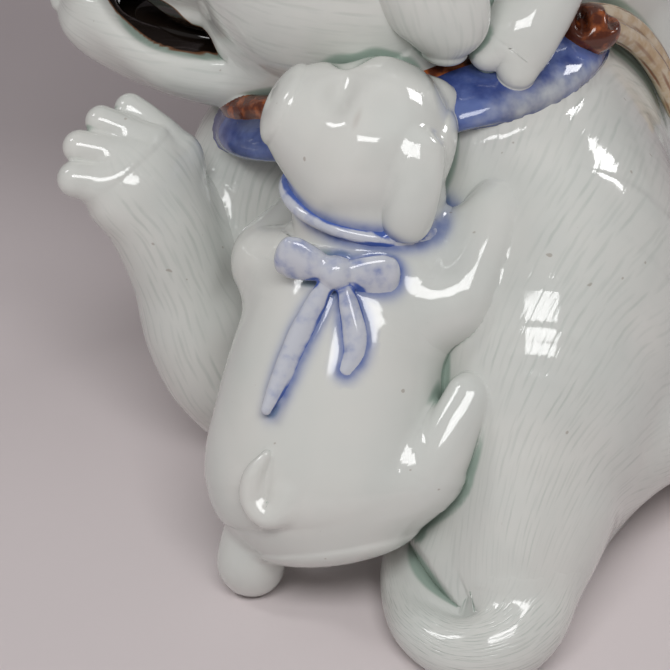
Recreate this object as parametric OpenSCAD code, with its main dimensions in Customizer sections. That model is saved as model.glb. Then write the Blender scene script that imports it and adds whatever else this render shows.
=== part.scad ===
// Glazed porcelain dog with two puppies, built from the clay pieces that are luted together.
// Millimetres, +Z up. The origin is on the flat resting face, under the middle of the dog's body.
// +Y is the way the dog's body points, and its head is turned to -X.

/* [Mother body] */
// length of the body from chest to tail root
torso_l = 126; // [110:1:140]
// width of the body over the shoulders
torso_w = 94; // [84:1:104]
// height of the back at the withers
torso_h = 99; // [88:1:110]
// wall of the hollow body and head
wall = 6; // [4:0.5:9]
// width of the vent in the resting face
vent_d = 14; // [8:1:20]
// width of the neck
neck_w = 56; // [48:1:62]

/* [Mother head] */
// width of the skull over the cheeks
skull_w = 58; // [52:1:64]
// height of the skull
skull_h = 58; // [52:1:64]
// reach of the muzzle in front of the middle of the skull
muzzle_l = 67; // [60:1:74]
// width of the muzzle
muzzle_w = 36; // [32:1:40]
// height of the upper muzzle
muzzle_h = 26; // [23:1:29]
// reach of the lower jaw in front of the middle of the skull
jaw_l = 61; // [54:1:66]
// width of the lower jaw
jaw_w = 37; // [32:1:42]
// depth of the lower jaw
jaw_d = 22; // [18:1:26]
// height of the open mouth at the lips
mouth_gap = 6; // [4:0.5:8]
// length of the hanging ears
ear_l = 33; // [26:1:40]
// width of the ears
ear_w = 22; // [18:1:26]
// thickness of the ears
ear_t = 10; // [7:0.5:13]
// width of an eye
eye_d = 8; // [6:0.5:10]
// width of the nose
nose_d = 12; // [9:0.5:15]
// height of a lower tooth
tooth_h = 6; // [4:0.5:8]
// width of a lower tooth
tooth_d = 3.2; // [2.4:0.2:4]
// width of the tongue
tongue_w = 15; // [11:1:18]
// thickness of the tongue
tongue_t = 5; // [3.5:0.5:7]

/* [Mother legs and tail] */
// thickness of the forelegs
foreleg_d = 22; // [18:1:26]
// thickness of the toes
toe_d = 11; // [9:0.5:13]
// thickness of the thighs
thigh_d = 32; // [28:1:36]
// thickness of the hind feet
hind_foot_d = 16; // [13:1:19]
// thickness of the tail behind its root
tail_d = 20; // [17:1:23]
// thickness of the tail at its end
tail_end_d = 10; // [8:0.5:12]

/* [Mother collar] */
// width of the padded bib round the neck
bib_w = 17; // [14:1:20]
// thickness of the padded bib
bib_t = 7; // [5:0.5:9]
// thickness of the band above the bib
band_d = 5; // [4:0.5:6.5]
// width of the knot
knot_d = 12; // [10:0.5:15]
// thickness of the two hanging cords
cord_d = 4.5; // [3.5:0.5:6]

/* [Puppies] */
// length of a puppy's body
pup_l = 63; // [57:1:69]
// width of a puppy over the haunches
pup_w = 50; // [45:1:55]
// depth of a puppy through the belly
pup_t = 36; // [32:1:40]
// width of a puppy's head
pup_head_d = 36; // [32:1:40]
// length of a puppy's muzzle in front of the middle of the head
pup_muzzle_l = 22; // [19:1:25]
// width of a puppy's ears
pup_ear_w = 11; // [9:0.5:13]
// thickness of a puppy's ears
pup_ear_t = 8.4; // [6.5:0.5:10]
// thickness of a puppy's forelegs
pup_foreleg_d = 15; // [12:1:18]
// thickness of a puppy's thighs
pup_thigh_d = 27; // [23:1:31]
// thickness of a puppy's feet
pup_foot_d = 14; // [11:1:17]
// thickness of a puppy's tail
pup_tail_d = 5; // [4:0.5:6.5]

/* [Puppy ribbons] */
// thickness of the ribbon round a puppy's neck
ribbon_d = 4; // [3:0.5:5.5]
// length of a bow loop
loop_l = 13; // [10:1:16]
// width of a bow loop
loop_w = 8; // [6:0.5:10]
// thickness of the bow
bow_t = 4.5; // [3.5:0.5:6]
// width of a bow tail
bow_tail_w = 4.5; // [3.5:0.5:6]
// width of the bow's knot
bow_knot_d = 7; // [5.5:0.5:9]

/* [Hidden] */

porcelain = [0.86, 0.88, 0.86];
cobalt = [0.32, 0.41, 0.66];
iron_brown = [0.42, 0.18, 0.09];
tan_glaze = [0.70, 0.55, 0.40];

// places are written for the sizes above and follow the body when it is resized
function place(x, y, z) = [x * torso_w / 94, y * torso_l / 126, z * torso_h / 99];
function unit(v) = v / norm(v);
function thick(p, ra, rb) = [p[0], p[1], p[2], ra, rb];
function round_at(p, r) = [p[0], p[1], p[2], r, r];

// a smooth curve through a list of stations
function spline(p, i, t) =
    let (n = len(p) - 1,
         a = p[max(i - 1, 0)],
         b = p[i],
         c = p[min(i + 1, n)],
         d = p[min(i + 2, n)])
    0.5 * (2 * b + (c - a) * t + (2 * a - 5 * b + 4 * c - d) * t * t
           + (3 * b - a - 3 * c + d) * t * t * t);
function refine(p, steps) =
    [for (i = [0:len(p) - 2], k = [0:steps - 1]) spline(p, i, k / steps), p[len(p) - 1]];

// soft clay that reaches the table is pressed flat on it
function on_table(p) = [p[0], p[1], max(p[2], 0)];

// an oval ring round a point of the curve
function ring(c, dir, side, ra, rb, sides) =
    let (u = unit(side - (side * dir) * dir), v = cross(dir, u))
    [for (k = [0:sides - 1]) on_table(c + ra * cos(360 * k / sides) * u + rb * sin(360 * k / sides) * v)];

// a rolled or pressed clay form: oval rings along a curve, each station [x, y, z, half width, half depth]
module loft(stations, side, sides, steps) {
    s = refine(stations, steps);
    n = len(s);
    xyz = [for (q = s) [q[0], q[1], q[2]]];
    rings = [for (i = [0:n - 1])
        ring(xyz[i], unit(xyz[min(i + 1, n - 1)] - xyz[max(i - 1, 0)]), side, s[i][3], s[i][4], sides)];
    pts = concat([for (r = rings) each r], [on_table(xyz[0]), on_table(xyz[n - 1])]);
    a = n * sides;
    faces = concat(
        [for (i = [0:n - 2], k = [0:sides - 1])
            let (j = (k + 1) % sides)
            each [[i * sides + k, (i + 1) * sides + k, (i + 1) * sides + j],
                  [i * sides + k, (i + 1) * sides + j, i * sides + j]]],
        [for (k = [0:sides - 1]) [a, k, (k + 1) % sides]],
        [for (k = [0:sides - 1]) [a + 1, (n - 1) * sides + (k + 1) % sides, (n - 1) * sides + k]]);
    polyhedron(pts, faces);
}

// a closed roll of clay round a neck: a flat oval carried round a tilted oval path
module hoop(centre, across, along, axis, rx, ry, half_w, half_t, lean, count, sides) {
    path = [for (i = [0:count - 1]) centre + rx * cos(360 * i / count) * across
                                           + ry * sin(360 * i / count) * along];
    pts = [for (i = [0:count - 1])
        let (out = unit(path[i] - centre),
             w = cos(lean) * out - sin(lean) * axis,
             t = sin(lean) * out + cos(lean) * axis)
        each [for (k = [0:sides - 1])
            path[i] + half_w * cos(360 * k / sides) * w + half_t * sin(360 * k / sides) * t]];
    faces = [for (i = [0:count - 1], k = [0:sides - 1])
        let (m = (i + 1) % count, j = (k + 1) % sides)
        each [[i * sides + k, i * sides + j, m * sides + j], [i * sides + k, m * sides + j, m * sides + k]]];
    polyhedron(pts, faces);
}

x_axis = [1, 0, 0];
y_axis = [0, 1, 0];
z_axis = [0, 0, 1];

// a pellet of clay
module pellet(p, rx, ry, rz) loft([for (a = [-78:26:78])
    thick(p + [0, 0, rz * sin(a)], rx * cos(a), ry * cos(a))], x_axis, 14, 1);

// mother's body: rows of [y, x, height of the back, half width, share of the dip under the resting face]
base_dip = torso_h * 0.303;
torso_rows = [
    [-58, -1, 17, 6, 0.2], [-50, -0.5, 34, 13.5, 0.3], [-38, 0.5, 51, 19.5, 0.4], [-22, 2.5, 71, 27.5, 0.6],
    [-2, 3, 87, 36.5, 0.8], [20, -5, 97, 43, 1], [38, -10, 99, 47, 1.05], [53, -14, 92, 44.5, 0.93],
    [66, -16, 79, 37, 0.67], [76, -17, 64, 26, 0.3], [82, -17.5, 49, 14, -0.17],
    [84.5, -17.5, 35, 4.5, -0.63]];
function torso_station(q) =
    let (p = place(q[1], q[0], q[2]))
    [p[0], p[1], (p[2] - base_dip * q[4]) / 2, q[3] * torso_w / 94, (p[2] + base_dip * q[4]) / 2];
vent_at = place(-8, 32, 0);
function hollow_station(q) =
    let (p = place(q[1], q[0], q[2]), top = p[2] - wall)
    [p[0], p[1], (top + wall) / 2, q[3] * torso_w / 94 - wall, (top - wall) / 2];
module torso_form() loft([for (q = torso_rows) torso_station(q)], x_axis, 32, 2);
module torso_hollow() loft([for (i = [2:7]) hollow_station(torso_rows[i])], x_axis, 20, 1);

// neck, leaning to the turned head
neck_root = place(-14, 24, 62);
neck_low = place(-18, 26, 82);
neck_high = place(-23, 31.5, 98);
head_at = place(-36, 31, 107);
muzzle_dir = unit([-0.953, 0.3, 0]);
cheek_dir = cross(z_axis, muzzle_dir);
function on_head(s, side, up) = head_at + s * muzzle_dir + side * cheek_dir + up * z_axis;
module neck_form() loft([
    thick(neck_root, neck_w * 0.52, neck_w * 0.48),
    thick(neck_low, neck_w * 0.52, neck_w * 0.46),
    thick(neck_high, neck_w * 0.48, neck_w * 0.45),
    thick(on_head(-skull_w * 0.07, 0, 0), neck_w * 0.42, neck_w * 0.42)], x_axis, 24, 2);
module neck_hollow() loft([
    thick(place(-12, 18, 46), neck_w * 0.46 - wall, neck_w * 0.42 - wall),
    thick(neck_root, neck_w * 0.5 - wall, neck_w * 0.46 - wall),
    thick(neck_low, neck_w * 0.5 - wall, neck_w * 0.44 - wall),
    thick(neck_high, neck_w * 0.46 - wall, neck_w * 0.43 - wall),
    thick(on_head(-skull_w * 0.07, 0, skull_h * 0.035), neck_w * 0.38 - wall, neck_w * 0.38 - wall)],
    x_axis, 16, 1);

// skull and upper muzzle, rows of [reach, half width, half height, lift]
skull_rows = [[-0.54, 0.1, 0.1], [-0.47, 0.31, 0.31], [-0.28, 0.46, 0.46], [0, 0.5, 0.5],
              [0.21, 0.465, 0.465], [0.36, 0.36, 0.36], [0.44, 0.21, 0.21], [0.47, 0.09, 0.09]];
module skull_form() loft([for (q = skull_rows)
    thick(on_head(q[0] * skull_w, 0, 0), q[1] * skull_w, q[2] * skull_h)], cheek_dir, 28, 2);
muzzle_rows = [[0.1, 0.68, 0.74, 2], [0.33, 0.62, 0.62, 0.5], [0.5, 0.54, 0.54, -1], [0.69, 0.5, 0.5, -1.5],
               [0.85, 0.45, 0.46, -1.5], [0.95, 0.31, 0.33, -1], [1, 0.12, 0.15, -0.5]];
module muzzle_form() loft([for (q = muzzle_rows)
    thick(on_head(q[0] * muzzle_l, 0, q[3] * skull_h / 58), q[1] * muzzle_w, q[2] * muzzle_h)],
    cheek_dir, 22, 2);
jaw_rows = [[0.03, 0.52, 0.46, -20], [0.3, 0.53, 0.58, -23], [0.56, 0.46, 0.56, -24],
            [0.79, 0.37, 0.42, -23.5], [0.93, 0.29, 0.28, -21.5], [1, 0.14, 0.14, -20]];
module jaw_form() loft([for (q = jaw_rows)
    thick(on_head(q[0] * jaw_l, 0, q[3] * skull_h / 58), q[1] * jaw_w, q[2] * jaw_d)], cheek_dir, 22, 2);
lip_line = skull_h * -0.2586;
mouth_rows = [[0.31, 0.1, 0.5], [0.45, 0.28, 0.2], [0.67, 0.45, -0.4], [0.9, 0.52, -0.4], [1.15, 0.6, 0]];
module mouth_form() loft([for (q = mouth_rows)
    thick(on_head(q[0] * muzzle_l, 0, lip_line + q[2]), muzzle_w, q[1] * mouth_gap)], cheek_dir, 16, 2);
module mouth_roof_form() loft([for (q = mouth_rows)
    let (up = lip_line + q[2] + jaw_d * 0.5 - q[1] * mouth_gap)
    thick(on_head(q[0] * muzzle_l, 0, up), muzzle_w, jaw_d * 0.5)],
    cheek_dir, 24, 2);
module head_form() union() {
    neck_form();
    skull_form();
    muzzle_form();
}

// tongue and teeth stand on the floor of the mouth
mouth_floor = lip_line - mouth_gap * 0.46;
module tongue_form() loft([
    thick(on_head(jaw_l * 0.3, 0, mouth_floor - 1), tongue_w * 0.4, tongue_t * 0.5),
    thick(on_head(jaw_l * 0.5, 0, mouth_floor), tongue_w * 0.5, tongue_t * 0.5),
    thick(on_head(jaw_l * 0.7, 0, mouth_floor), tongue_w * 0.42, tongue_t * 0.46),
    thick(on_head(jaw_l * 0.79, 0, mouth_floor - 0.5), tongue_w * 0.2, tongue_t * 0.3)], cheek_dir, 14, 2);
tooth_arc = jaw_w * 0.19;
module lower_teeth_form() for (a = [-75:30:75]) {
    foot = on_head(jaw_l * 0.8 + tooth_arc * cos(a), tooth_arc * sin(a), mouth_floor);
    translate(foot - [0, 0, tooth_h / 2]) cylinder(h = tooth_h, d1 = tooth_d, d2 = tooth_d * 0.6, $fn = 10);
}
eye_side = skull_w * 0.37;
module eyes_form() for (s = [-1, 1]) pellet(on_head(skull_w * 0.3, s * eye_side, skull_h * 0.16),
                                           eye_d / 2, eye_d / 2, eye_d / 2);
module nose_form() pellet(on_head(muzzle_l * 0.955, 0, muzzle_h * 0.16),
                          nose_d * 0.4, nose_d / 2, nose_d * 0.36);

// hanging ears, the right one mirrored in the middle of the head
ear_root = [-16, 15, 25];
ear_rows = [[0, 0, 0, 0.27, 0.4], [-5, 6, -0.18, 0.45, 0.5], [-9, 9, -0.48, 0.5, 0.6],
            [-11.5, 9.5, -0.79, 0.45, 0.55], [-12, 9, -1, 0.22, 0.3]];
module ear_form(s) loft([for (q = ear_rows)
    thick(on_head((ear_root[0] + q[0]) * skull_w / 58, s * (ear_root[1] + q[1]) * skull_w / 58,
                  ear_root[2] * skull_h / 58 + q[2] * ear_l), q[3] * ear_w, q[4] * ear_t)],
    muzzle_dir, 16, 2);

// legs and tail
raised_arm_path = [place(-34, 32, 58), place(-44, 24, 50), place(-51, 15, 34), place(-57, 7.5, 19.5),
                   place(-60, 4.5, 13)];
raised_arm_girth = [0.55, 0.74, 0.66, 0.54, 0.3];
raised_fore_path = [place(-57, 5.5, 13), place(-61, 4.5, 21), place(-66, 4.5, 33), place(-70.5, 6, 47),
                    place(-75, 8, 62), place(-79, 9.5, 70.5), place(-83.5, 11, 77), place(-87, 12.5, 81.5),
                    place(-88.5, 13, 83.5)];
raised_fore_wide = [0.32, 0.52, 0.52, 0.47, 0.47, 0.57, 0.6, 0.45, 0.2];
raised_fore_deep = [0.32, 0.52, 0.52, 0.46, 0.45, 0.48, 0.45, 0.31, 0.12];
paw_side = unit([0.48, 0.745, 0.47]);
paw_dir = unit(raised_fore_path[8] - raised_fore_path[5]);
module toe_slot(tip, dir, side, shift, deep) loft([
    thick(tip + shift * side - toe_d * 0.8 * dir, toe_d * 0.02, deep),
    thick(tip + shift * side + toe_d * 0.3 * dir, toe_d * 0.15, deep)], side, 8, 1);
module raised_arm_form() loft([for (i = [0:4])
    round_at(raised_arm_path[i], raised_arm_girth[i] * foreleg_d)], y_axis, 20, 2);
module raised_forearm_form() loft([for (i = [0:8])
    thick(raised_fore_path[i], raised_fore_wide[i] * foreleg_d, raised_fore_deep[i] * foreleg_d)],
    paw_side, 20, 2);
right_leg_path = [place(-2, 40, 30), place(4, 54, 16), place(7, 71, 11), place(8, 84, 9.5), place(8, 93, 7.5),
                  place(8, 97, 6)];
right_leg_girth = [0.64, 0.56, 0.48, 0.46, 0.36, 0.12];
module right_foreleg_form() loft([for (i = [0:5])
    round_at(right_leg_path[i], right_leg_girth[i] * foreleg_d)], x_axis, 18, 2);
left_hind_path = [place(-10, -16, 20), place(-25, -11, 12), place(-35, -5, 8.5), place(-40, 4, 7),
                  place(-41, 12, 5.5), place(-41, 15, 4.5)];
right_hind_path = [place(20, -20, 26), place(31, -8, 22), place(38, 4, 13), place(40, 15, 8.5),
                   place(40, 24, 7), place(40, 29, 5.5)];
module hind_leg_form(path, grip) loft([
    round_at(path[0], thigh_d * grip),
    round_at(path[1], thigh_d * grip),
    round_at(path[2], (thigh_d * grip + hind_foot_d) * 0.42),
    round_at(path[3], hind_foot_d * 0.53),
    round_at(path[4], hind_foot_d * 0.45),
    round_at(path[5], hind_foot_d * 0.2)], x_axis, 18, 2);
tail_path = [place(0, -46, 22), place(-0.5, -54, 15.5), place(-2, -63.5, 10.5), place(-7, -69.5, 8),
             place(-14.5, -68, 6.5), place(-21.2, -58.6, 6), place(-23.4, -44.6, 5.8), place(-22, -32.1, 5.5),
             place(-20, -25, 5)];
tail_girth = [0.76, 0.6, 0.5, 0.4];
module tail_form() loft([for (i = [0:8]) round_at(tail_path[i], i < 4 ? tail_girth[i] * tail_d
    : tail_end_d * [0.65, 0.6, 0.55, 0.5, 0.3][i - 4])], z_axis, 18, 2);

// padded bib, band, knot and cords, tilted with the neck
collar_at = place(-25.5, 25, 80.5);
collar_across = unit([31, 0, 9.5]);
collar_along = unit([0, 25, -8.5]);
collar_axis = cross(collar_across, collar_along);
collar_rx = neck_w * 0.625;
collar_ry = neck_w * 0.47;
module bib_form() hoop(collar_at + 0.5 * collar_axis, collar_across, collar_along, collar_axis,
                       collar_rx, collar_ry, bib_w / 2, bib_t / 2, 36, 36, 12);
module band_form() hoop(collar_at + bib_t * 0.9 * collar_axis, collar_across, collar_along, collar_axis,
                        neck_w * 0.6, neck_w * 0.45, band_d * 0.6, band_d / 2, 20, 36, 8);
knot_at = collar_at + [38.5, -6.5, 16.5] * neck_w / 56;
module knot_form() pellet(knot_at, knot_d * 0.55, knot_d * 0.5, knot_d * 0.42);
module cord_form(shift) loft([
    round_at(knot_at + [0, shift, 0] + place(1, 2, -1), cord_d * 0.5),
    round_at(place(19, 26, 92) + [0, shift, 0], cord_d * 0.5),
    round_at(place(24.5, 32, 85) + [0, shift, 0], cord_d * 0.5),
    round_at(place(29.5, 36, 76) + [0, shift, 0], cord_d * 0.5),
    round_at(place(33.5, 37, 66) + [0, shift, 0], cord_d * 0.42)], y_axis, 10, 2);
outer_cord = cord_d * 1.333;

// a puppy's body: rows of [x, y, z, half width, half depth], in the puppy's own place and lean
pup_side = unit([0.91, -0.42, 0]);
climber_at = place(-40, -41, 30);
climber_rows = [[-4, -6, -17, 0.2, 0.22], [-2, -4, -10, 0.42, 0.4], [0, 0, 0, 0.5, 0.5],
                [1.2, 7, 12, 0.46, 0.49],
                [4.2, 15, 24, 0.42, 0.46], [7.5, 20, 32, 0.38, 0.42], [9, 24, 40, 0.31, 0.37],
                [8.5, 26, 46, 0.22, 0.3]];
function climber_spot(x, y, z) = climber_at + [x, y, z] * pup_l / 63;
module climber_body_form() loft([for (q = climber_rows)
    thick(climber_spot(q[0], q[1], q[2]), q[3] * pup_w, q[4] * pup_t)], pup_side, 26, 2);

// a puppy's head, rows of [reach, half width] along the way it looks
pup_head_rows = [[-0.5, 0.14], [-0.41, 0.36], [-0.19, 0.495], [0.06, 0.505], [0.27, 0.43]];
pup_snout_rows = [[0.66, 0.31], [0.87, 0.225], [1, 0.11]];
module pup_head_form(at, look) loft(concat(
    [for (q = pup_head_rows) round_at(at + look * q[0] * pup_head_d, q[1] * pup_head_d)],
    [for (q = pup_snout_rows) round_at(at + look * q[0] * pup_muzzle_l, q[1] * pup_head_d)]), z_axis, 22, 2);
climber_head_at = climber_spot(9.5, 29, 58);
climber_look = unit([-0.88, 0.15, 0.42]);
climber_left = unit(cross(z_axis, climber_look));
climber_crown = cross(climber_look, climber_left);
function on_climber_head(s, side, up) =
    climber_head_at + (s * climber_look + side * climber_left + up * climber_crown) * pup_head_d / 36;
pup_ear_rows = [[-7, 11, 15, 0.35, 0.36], [-8.6, 15.4, 10.5, 0.5, 0.48], [-10, 17.6, 3.6, 0.5, 0.5],
                [-11.2, 17.8, -2.4, 0.43, 0.42], [-12.2, 17, -6.3, 0.22, 0.22]];
// the climber's right ear is shorter, it lies on the bib
pup_short_ear_rows = [[-7, 11, 15, 0.35, 0.36], [-8, 14, 12, 0.46, 0.44], [-8.6, 15.6, 8.5, 0.42, 0.42],
                      [-9, 16, 6.5, 0.2, 0.22]];

// a puppy's limbs stand on the mother or on the ground
module pup_foreleg_form(path, side) loft([
    round_at(path[0], pup_foreleg_d * 0.5),
    round_at(path[1], pup_foreleg_d * 0.57),
    round_at(path[2], pup_foreleg_d * 0.53),
    round_at(path[3], pup_foreleg_d * 0.46),
    round_at(path[4], pup_foreleg_d * 0.42),
    round_at(path[5], pup_foreleg_d * 0.2)], side, 14, 2);
module pup_hind_leg_form(path) loft([
    round_at(path[0], pup_thigh_d * 0.45),
    round_at(path[1], pup_thigh_d * 0.43),
    round_at(path[2], pup_foot_d * 0.59),
    round_at(path[3], pup_foot_d * 0.5),
    round_at(path[4], pup_foot_d * 0.4),
    round_at(path[5], pup_foot_d * 0.2)], x_axis, 14, 2);
climber_right_fore = [climber_spot(8, 18, 29), climber_spot(18, 13.5, 31), climber_spot(25, 11.8, 34.5),
                      place(-10.5, -24.5, 70.5), place(-7.5, -19, 75.5), place(-5.5, -14.5, 78)];
climber_left_fore = [climber_spot(0, 23, 30), climber_spot(-8, 27, 30), place(-51, -8, 59),
                     place(-47, -1, 60), place(-40, 6, 63), place(-33, 9, 64)];
function climber_flank(x, y, z) = climber_spot(x * pup_w / 50, y, z);
climber_right_hind = [climber_flank(10, -3, 2), climber_flank(19, -7, 4), climber_flank(26, -7, 11),
                      place(-12.5, -45, 46.5), place(-11.5, -42, 50), place(-11, -40, 53)];
climber_left_hind = [climber_spot(-10, 2, -4), climber_spot(-14, 1, -13), place(-55, -41, 9),
                     place(-55, -35, 5.8), place(-55, -27, 4.6), place(-55, -23, 4)];
pup_tail_girth = [0.46, 0.5, 0.51, 0.5, 0.4, 0.15];
module pup_tail_form(path, side) loft([for (i = [0:5])
    round_at(path[i], pup_tail_girth[i] * pup_tail_d)], side, 12, 2);
climber_tail_path = [climber_spot(-7.8, -14.3, 5.1), climber_spot(-8.5, -15.6, 1.9),
                     climber_spot(-11, -15, -0.4), climber_spot(-15, -12.3, 1.6),
                     climber_spot(-14, -11.3, 8.1), climber_spot(-11.5, -10, 12.2)];

// ribbon and bow
climber_neck = climber_spot(8.5, 24.5, 42);
climber_neck_axis = unit([0.15, 0.42, 0.9]);
ribbon_across = unit(cross(y_axis, climber_neck_axis));
ribbon_along = cross(climber_neck_axis, ribbon_across);
module climber_ribbon_form() hoop(climber_neck, ribbon_across, ribbon_along, climber_neck_axis,
    pup_w * 0.315, pup_t * 0.4, ribbon_d * 0.55, ribbon_d * 0.5, 0, 28, 8);
bow_at = climber_spot(2.2, 7.6, 42.8);
module bow_knot_form() pellet(bow_at, bow_knot_d * 0.5, bow_knot_d * 0.45, bow_knot_d * 0.5);
module bow_loop_form(s) {
    out = unit(s * [0.93, -0.1, -0.1] + [0, 0.12, 0]);
    loft([
        thick(bow_at + out * loop_l * 0.1, loop_w * 0.3, bow_t * 0.4),
        thick(bow_at + out * loop_l * 0.45, loop_w * 0.44, bow_t * 0.5),
        thick(bow_at + out * loop_l * 0.8, loop_w * 0.5, bow_t * 0.5),
        thick(bow_at + out * loop_l * 1.02, loop_w * 0.36, bow_t * 0.42),
        thick(bow_at + out * loop_l * 1.1, loop_w * 0.15, bow_t * 0.2)], z_axis, 12, 2);
}
left_tail_path = [climber_spot(0.2, 6.6, 40.5), climber_spot(-4.4, 2.6, 33), climber_spot(-8.6, -2.6, 25),
                  climber_spot(-11.4, -7, 19)];
right_tail_path = [climber_spot(4, 5.8, 40), climber_spot(5.7, 1.1, 34), climber_spot(5.7, -2.4, 29),
                   climber_spot(3.7, -4.8, 25.5)];
module bow_tail_form(path) loft([
    thick(path[0], bow_tail_w * 0.36, bow_t * 0.4),
    thick(path[1], bow_tail_w * 0.5, bow_t * 0.44),
    thick(path[2], bow_tail_w * 0.5, bow_t * 0.44),
    thick(path[3], bow_tail_w * 0.3, bow_t * 0.34)], x_axis, 10, 3);

// riding puppy, over the mother's shoulder and nape
rider_at = place(15, 59, 84);
rider_rows = [[0, 9, -13, 0.2, 0.3], [0, 4, -7, 0.36, 0.46], [0, 0, 0, 0.4, 0.54], [-2, -8, 18, 0.37, 0.5],
              [-6, -16, 34, 0.33, 0.44], [-11, -21, 44, 0.26, 0.36], [-15, -24, 51, 0.2, 0.28]];
function rider_spot(x, y, z) = rider_at + [x, y, z] * pup_l / 63;
module rider_body_form() loft([for (q = rider_rows)
    thick(rider_spot(q[0], q[1], q[2]), q[3] * pup_w, q[4] * pup_t)], x_axis, 26, 2);
rider_head_at = rider_spot(-20, -27, 60);
rider_look = unit([-0.86, -0.5, -0.05]);
rider_left = unit(cross(z_axis, rider_look));
rider_crown = cross(rider_look, rider_left);
function on_rider_head(s, side, up) =
    rider_head_at + (s * rider_look + side * rider_left + up * rider_crown) * pup_head_d / 36;
rider_left_fore = [rider_spot(-7, -21, 34), rider_spot(-8, -33, 33), rider_spot(-11, -45, 27),
                   place(-0.5, 5.5, 105), place(-4.5, 2.5, 99.5), place(-6.5, 1.5, 95.5)];
rider_right_fore = [rider_spot(-12, -12, 34), rider_spot(-22, -6, 33), place(-18, 54, 117),
                    place(-27, 56, 113), place(-34, 56, 108), place(-37, 55, 105)];
rider_left_hind = [rider_spot(4, -3, -4), rider_spot(9, -5, -10), place(27, 50, 66), place(29, 46, 60),
                   place(30, 42, 57), place(30.5, 39, 55)];
rider_right_hind = [rider_spot(-8, 6, -3), rider_spot(-16, 12, -7), place(-8, 78, 70), place(-11, 83.5, 61),
                    place(-12, 86, 55.5), place(-12.5, 87.5, 52)];
rider_tail_path = [rider_spot(1, 13, 2), rider_spot(1.5, 18.5, 3.5), rider_spot(2, 22, 7),
                   rider_spot(2, 23.5, 12), rider_spot(1.5, 22.5, 17), rider_spot(1, 20.5, 21)];
rider_neck = rider_spot(-12.5, -22, 47);
rider_neck_axis = unit([-0.45, -0.35, 0.82]);
rider_across = unit(cross(y_axis, rider_neck_axis));
rider_along = cross(rider_neck_axis, rider_across);
module rider_ribbon_form() hoop(rider_neck, rider_across, rider_along, rider_neck_axis,
    pup_w * 0.25, pup_t * 0.34, ribbon_d * 0.55, ribbon_d * 0.5, 0, 28, 8);

// the pieces, each cut to the ones it is luted against
module mother_torso() color(porcelain) difference() {
    torso_form();
    torso_hollow();
    neck_hollow();
    translate(vent_at - [0, 0, wall]) cylinder(h = wall * 3, d = vent_d, $fn = 32);
}
module mother_head() color(porcelain) difference() {
    head_form();
    torso_form();
    neck_hollow();
    mouth_form();
    difference() {
        union() {
            bib_form();
            band_form();
        }
        neck_form();
    }
}
module mother_lower_jaw() color(porcelain) difference() {
    jaw_form();
    head_form();
    torso_form();
    band_form();
    bib_form();
    raised_arm_form();
    mouth_roof_form();
}
module mother_tongue() color(porcelain) difference() {
    tongue_form();
    jaw_cut();
    head_form();
}
module jaw_cut() difference() {
    jaw_form();
    mouth_roof_form();
}
module mother_lower_teeth() color(porcelain) difference() {
    lower_teeth_form();
    jaw_cut();
    tongue_form();
}
module mother_nose() color(iron_brown) difference() {
    nose_form();
    muzzle_form();
}
module mother_eyes() color(iron_brown) difference() {
    eyes_form();
    head_form();
}
module mother_left_ear() color(porcelain) difference() {
    ear_form(1);
    head_form();
    climber_ear_form(-1, pup_short_ear_rows);
}
module mother_right_ear() color(porcelain) difference() {
    ear_form(-1);
    head_form();
    rider_body_form();
    rider_ribbon_form();
}
module mother_raised_upper_arm() color(porcelain) difference() {
    raised_arm_form();
    torso_form();
}
module mother_raised_forearm() color(porcelain) difference() {
    raised_forearm_form();
    raised_arm_form();
    torso_form();
    for (i = [-1, 0, 1]) toe_slot(raised_fore_path[8], paw_dir, paw_side, i * toe_d * 0.58, toe_d * 1.5);
}
module mother_right_foreleg() color(porcelain) difference() {
    right_foreleg_form();
    torso_form();
    for (i = [-1, 0, 1]) toe_slot(right_leg_path[5], y_axis, x_axis, i * toe_d * 0.48, toe_d * 1.2);
}
module mother_left_hind_leg() color(porcelain) difference() {
    hind_leg_form(left_hind_path, 0.4);
    torso_form();
    tail_form();
    raised_arm_form();
}
module mother_right_hind_leg() color(porcelain) difference() {
    hind_leg_form(right_hind_path, 0.47);
    torso_form();
}
module mother_tail() color(porcelain) difference() {
    tail_form();
    torso_form();
}
module collar_bib() color(cobalt) difference() {
    bib_form();
    torso_form();
    neck_form();
    raised_arm_form();
}
module collar_band() color(iron_brown) difference() {
    band_form();
    neck_form();
    bib_form();
    torso_form();
}
module collar_knot() color(iron_brown) difference() {
    knot_form();
    torso_form();
    head_form();
    bib_form();
    band_form();
}
module cord_cut() union() {
    knot_form();
    torso_form();
    bib_form();
    band_form();
    neck_form();
    rider_body_form();
}
module collar_inner_cord() color(tan_glaze) difference() {
    cord_form(0);
    cord_cut();
}
module collar_outer_cord() color(tan_glaze) difference() {
    cord_form(outer_cord);
    cord_cut();
    cord_form(0);
}
module climber_body() color(porcelain) difference() {
    climber_body_form();
    torso_form();
    tail_form();
}
module climber_head() color(porcelain) difference() {
    pup_head_form(climber_head_at, climber_look);
    climber_body_form();
    head_form();
    torso_form();
    jaw_form();
    bib_form();
    band_form();
    ear_form(1);
}
module climber_ear_form(s, rows) loft([for (q = rows)
    thick(on_climber_head(q[0], s * q[1], q[2]), q[3] * pup_ear_w, q[4] * pup_ear_t)],
    climber_look, 12, 2);
module climber_ear(s, rows) color(porcelain) difference() {
    climber_ear_form(s, rows);
    pup_head_form(climber_head_at, climber_look);
    climber_body_form();
    torso_form();
    head_form();
    jaw_form();
    bib_form();
    band_form();
}
module climber_right_ear() climber_ear(-1, pup_short_ear_rows);
module climber_left_ear() climber_ear(1, pup_ear_rows);
module climber_right_foreleg() color(porcelain) difference() {
    pup_foreleg_form(climber_right_fore, z_axis);
    climber_body_form();
    torso_form();
}
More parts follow.
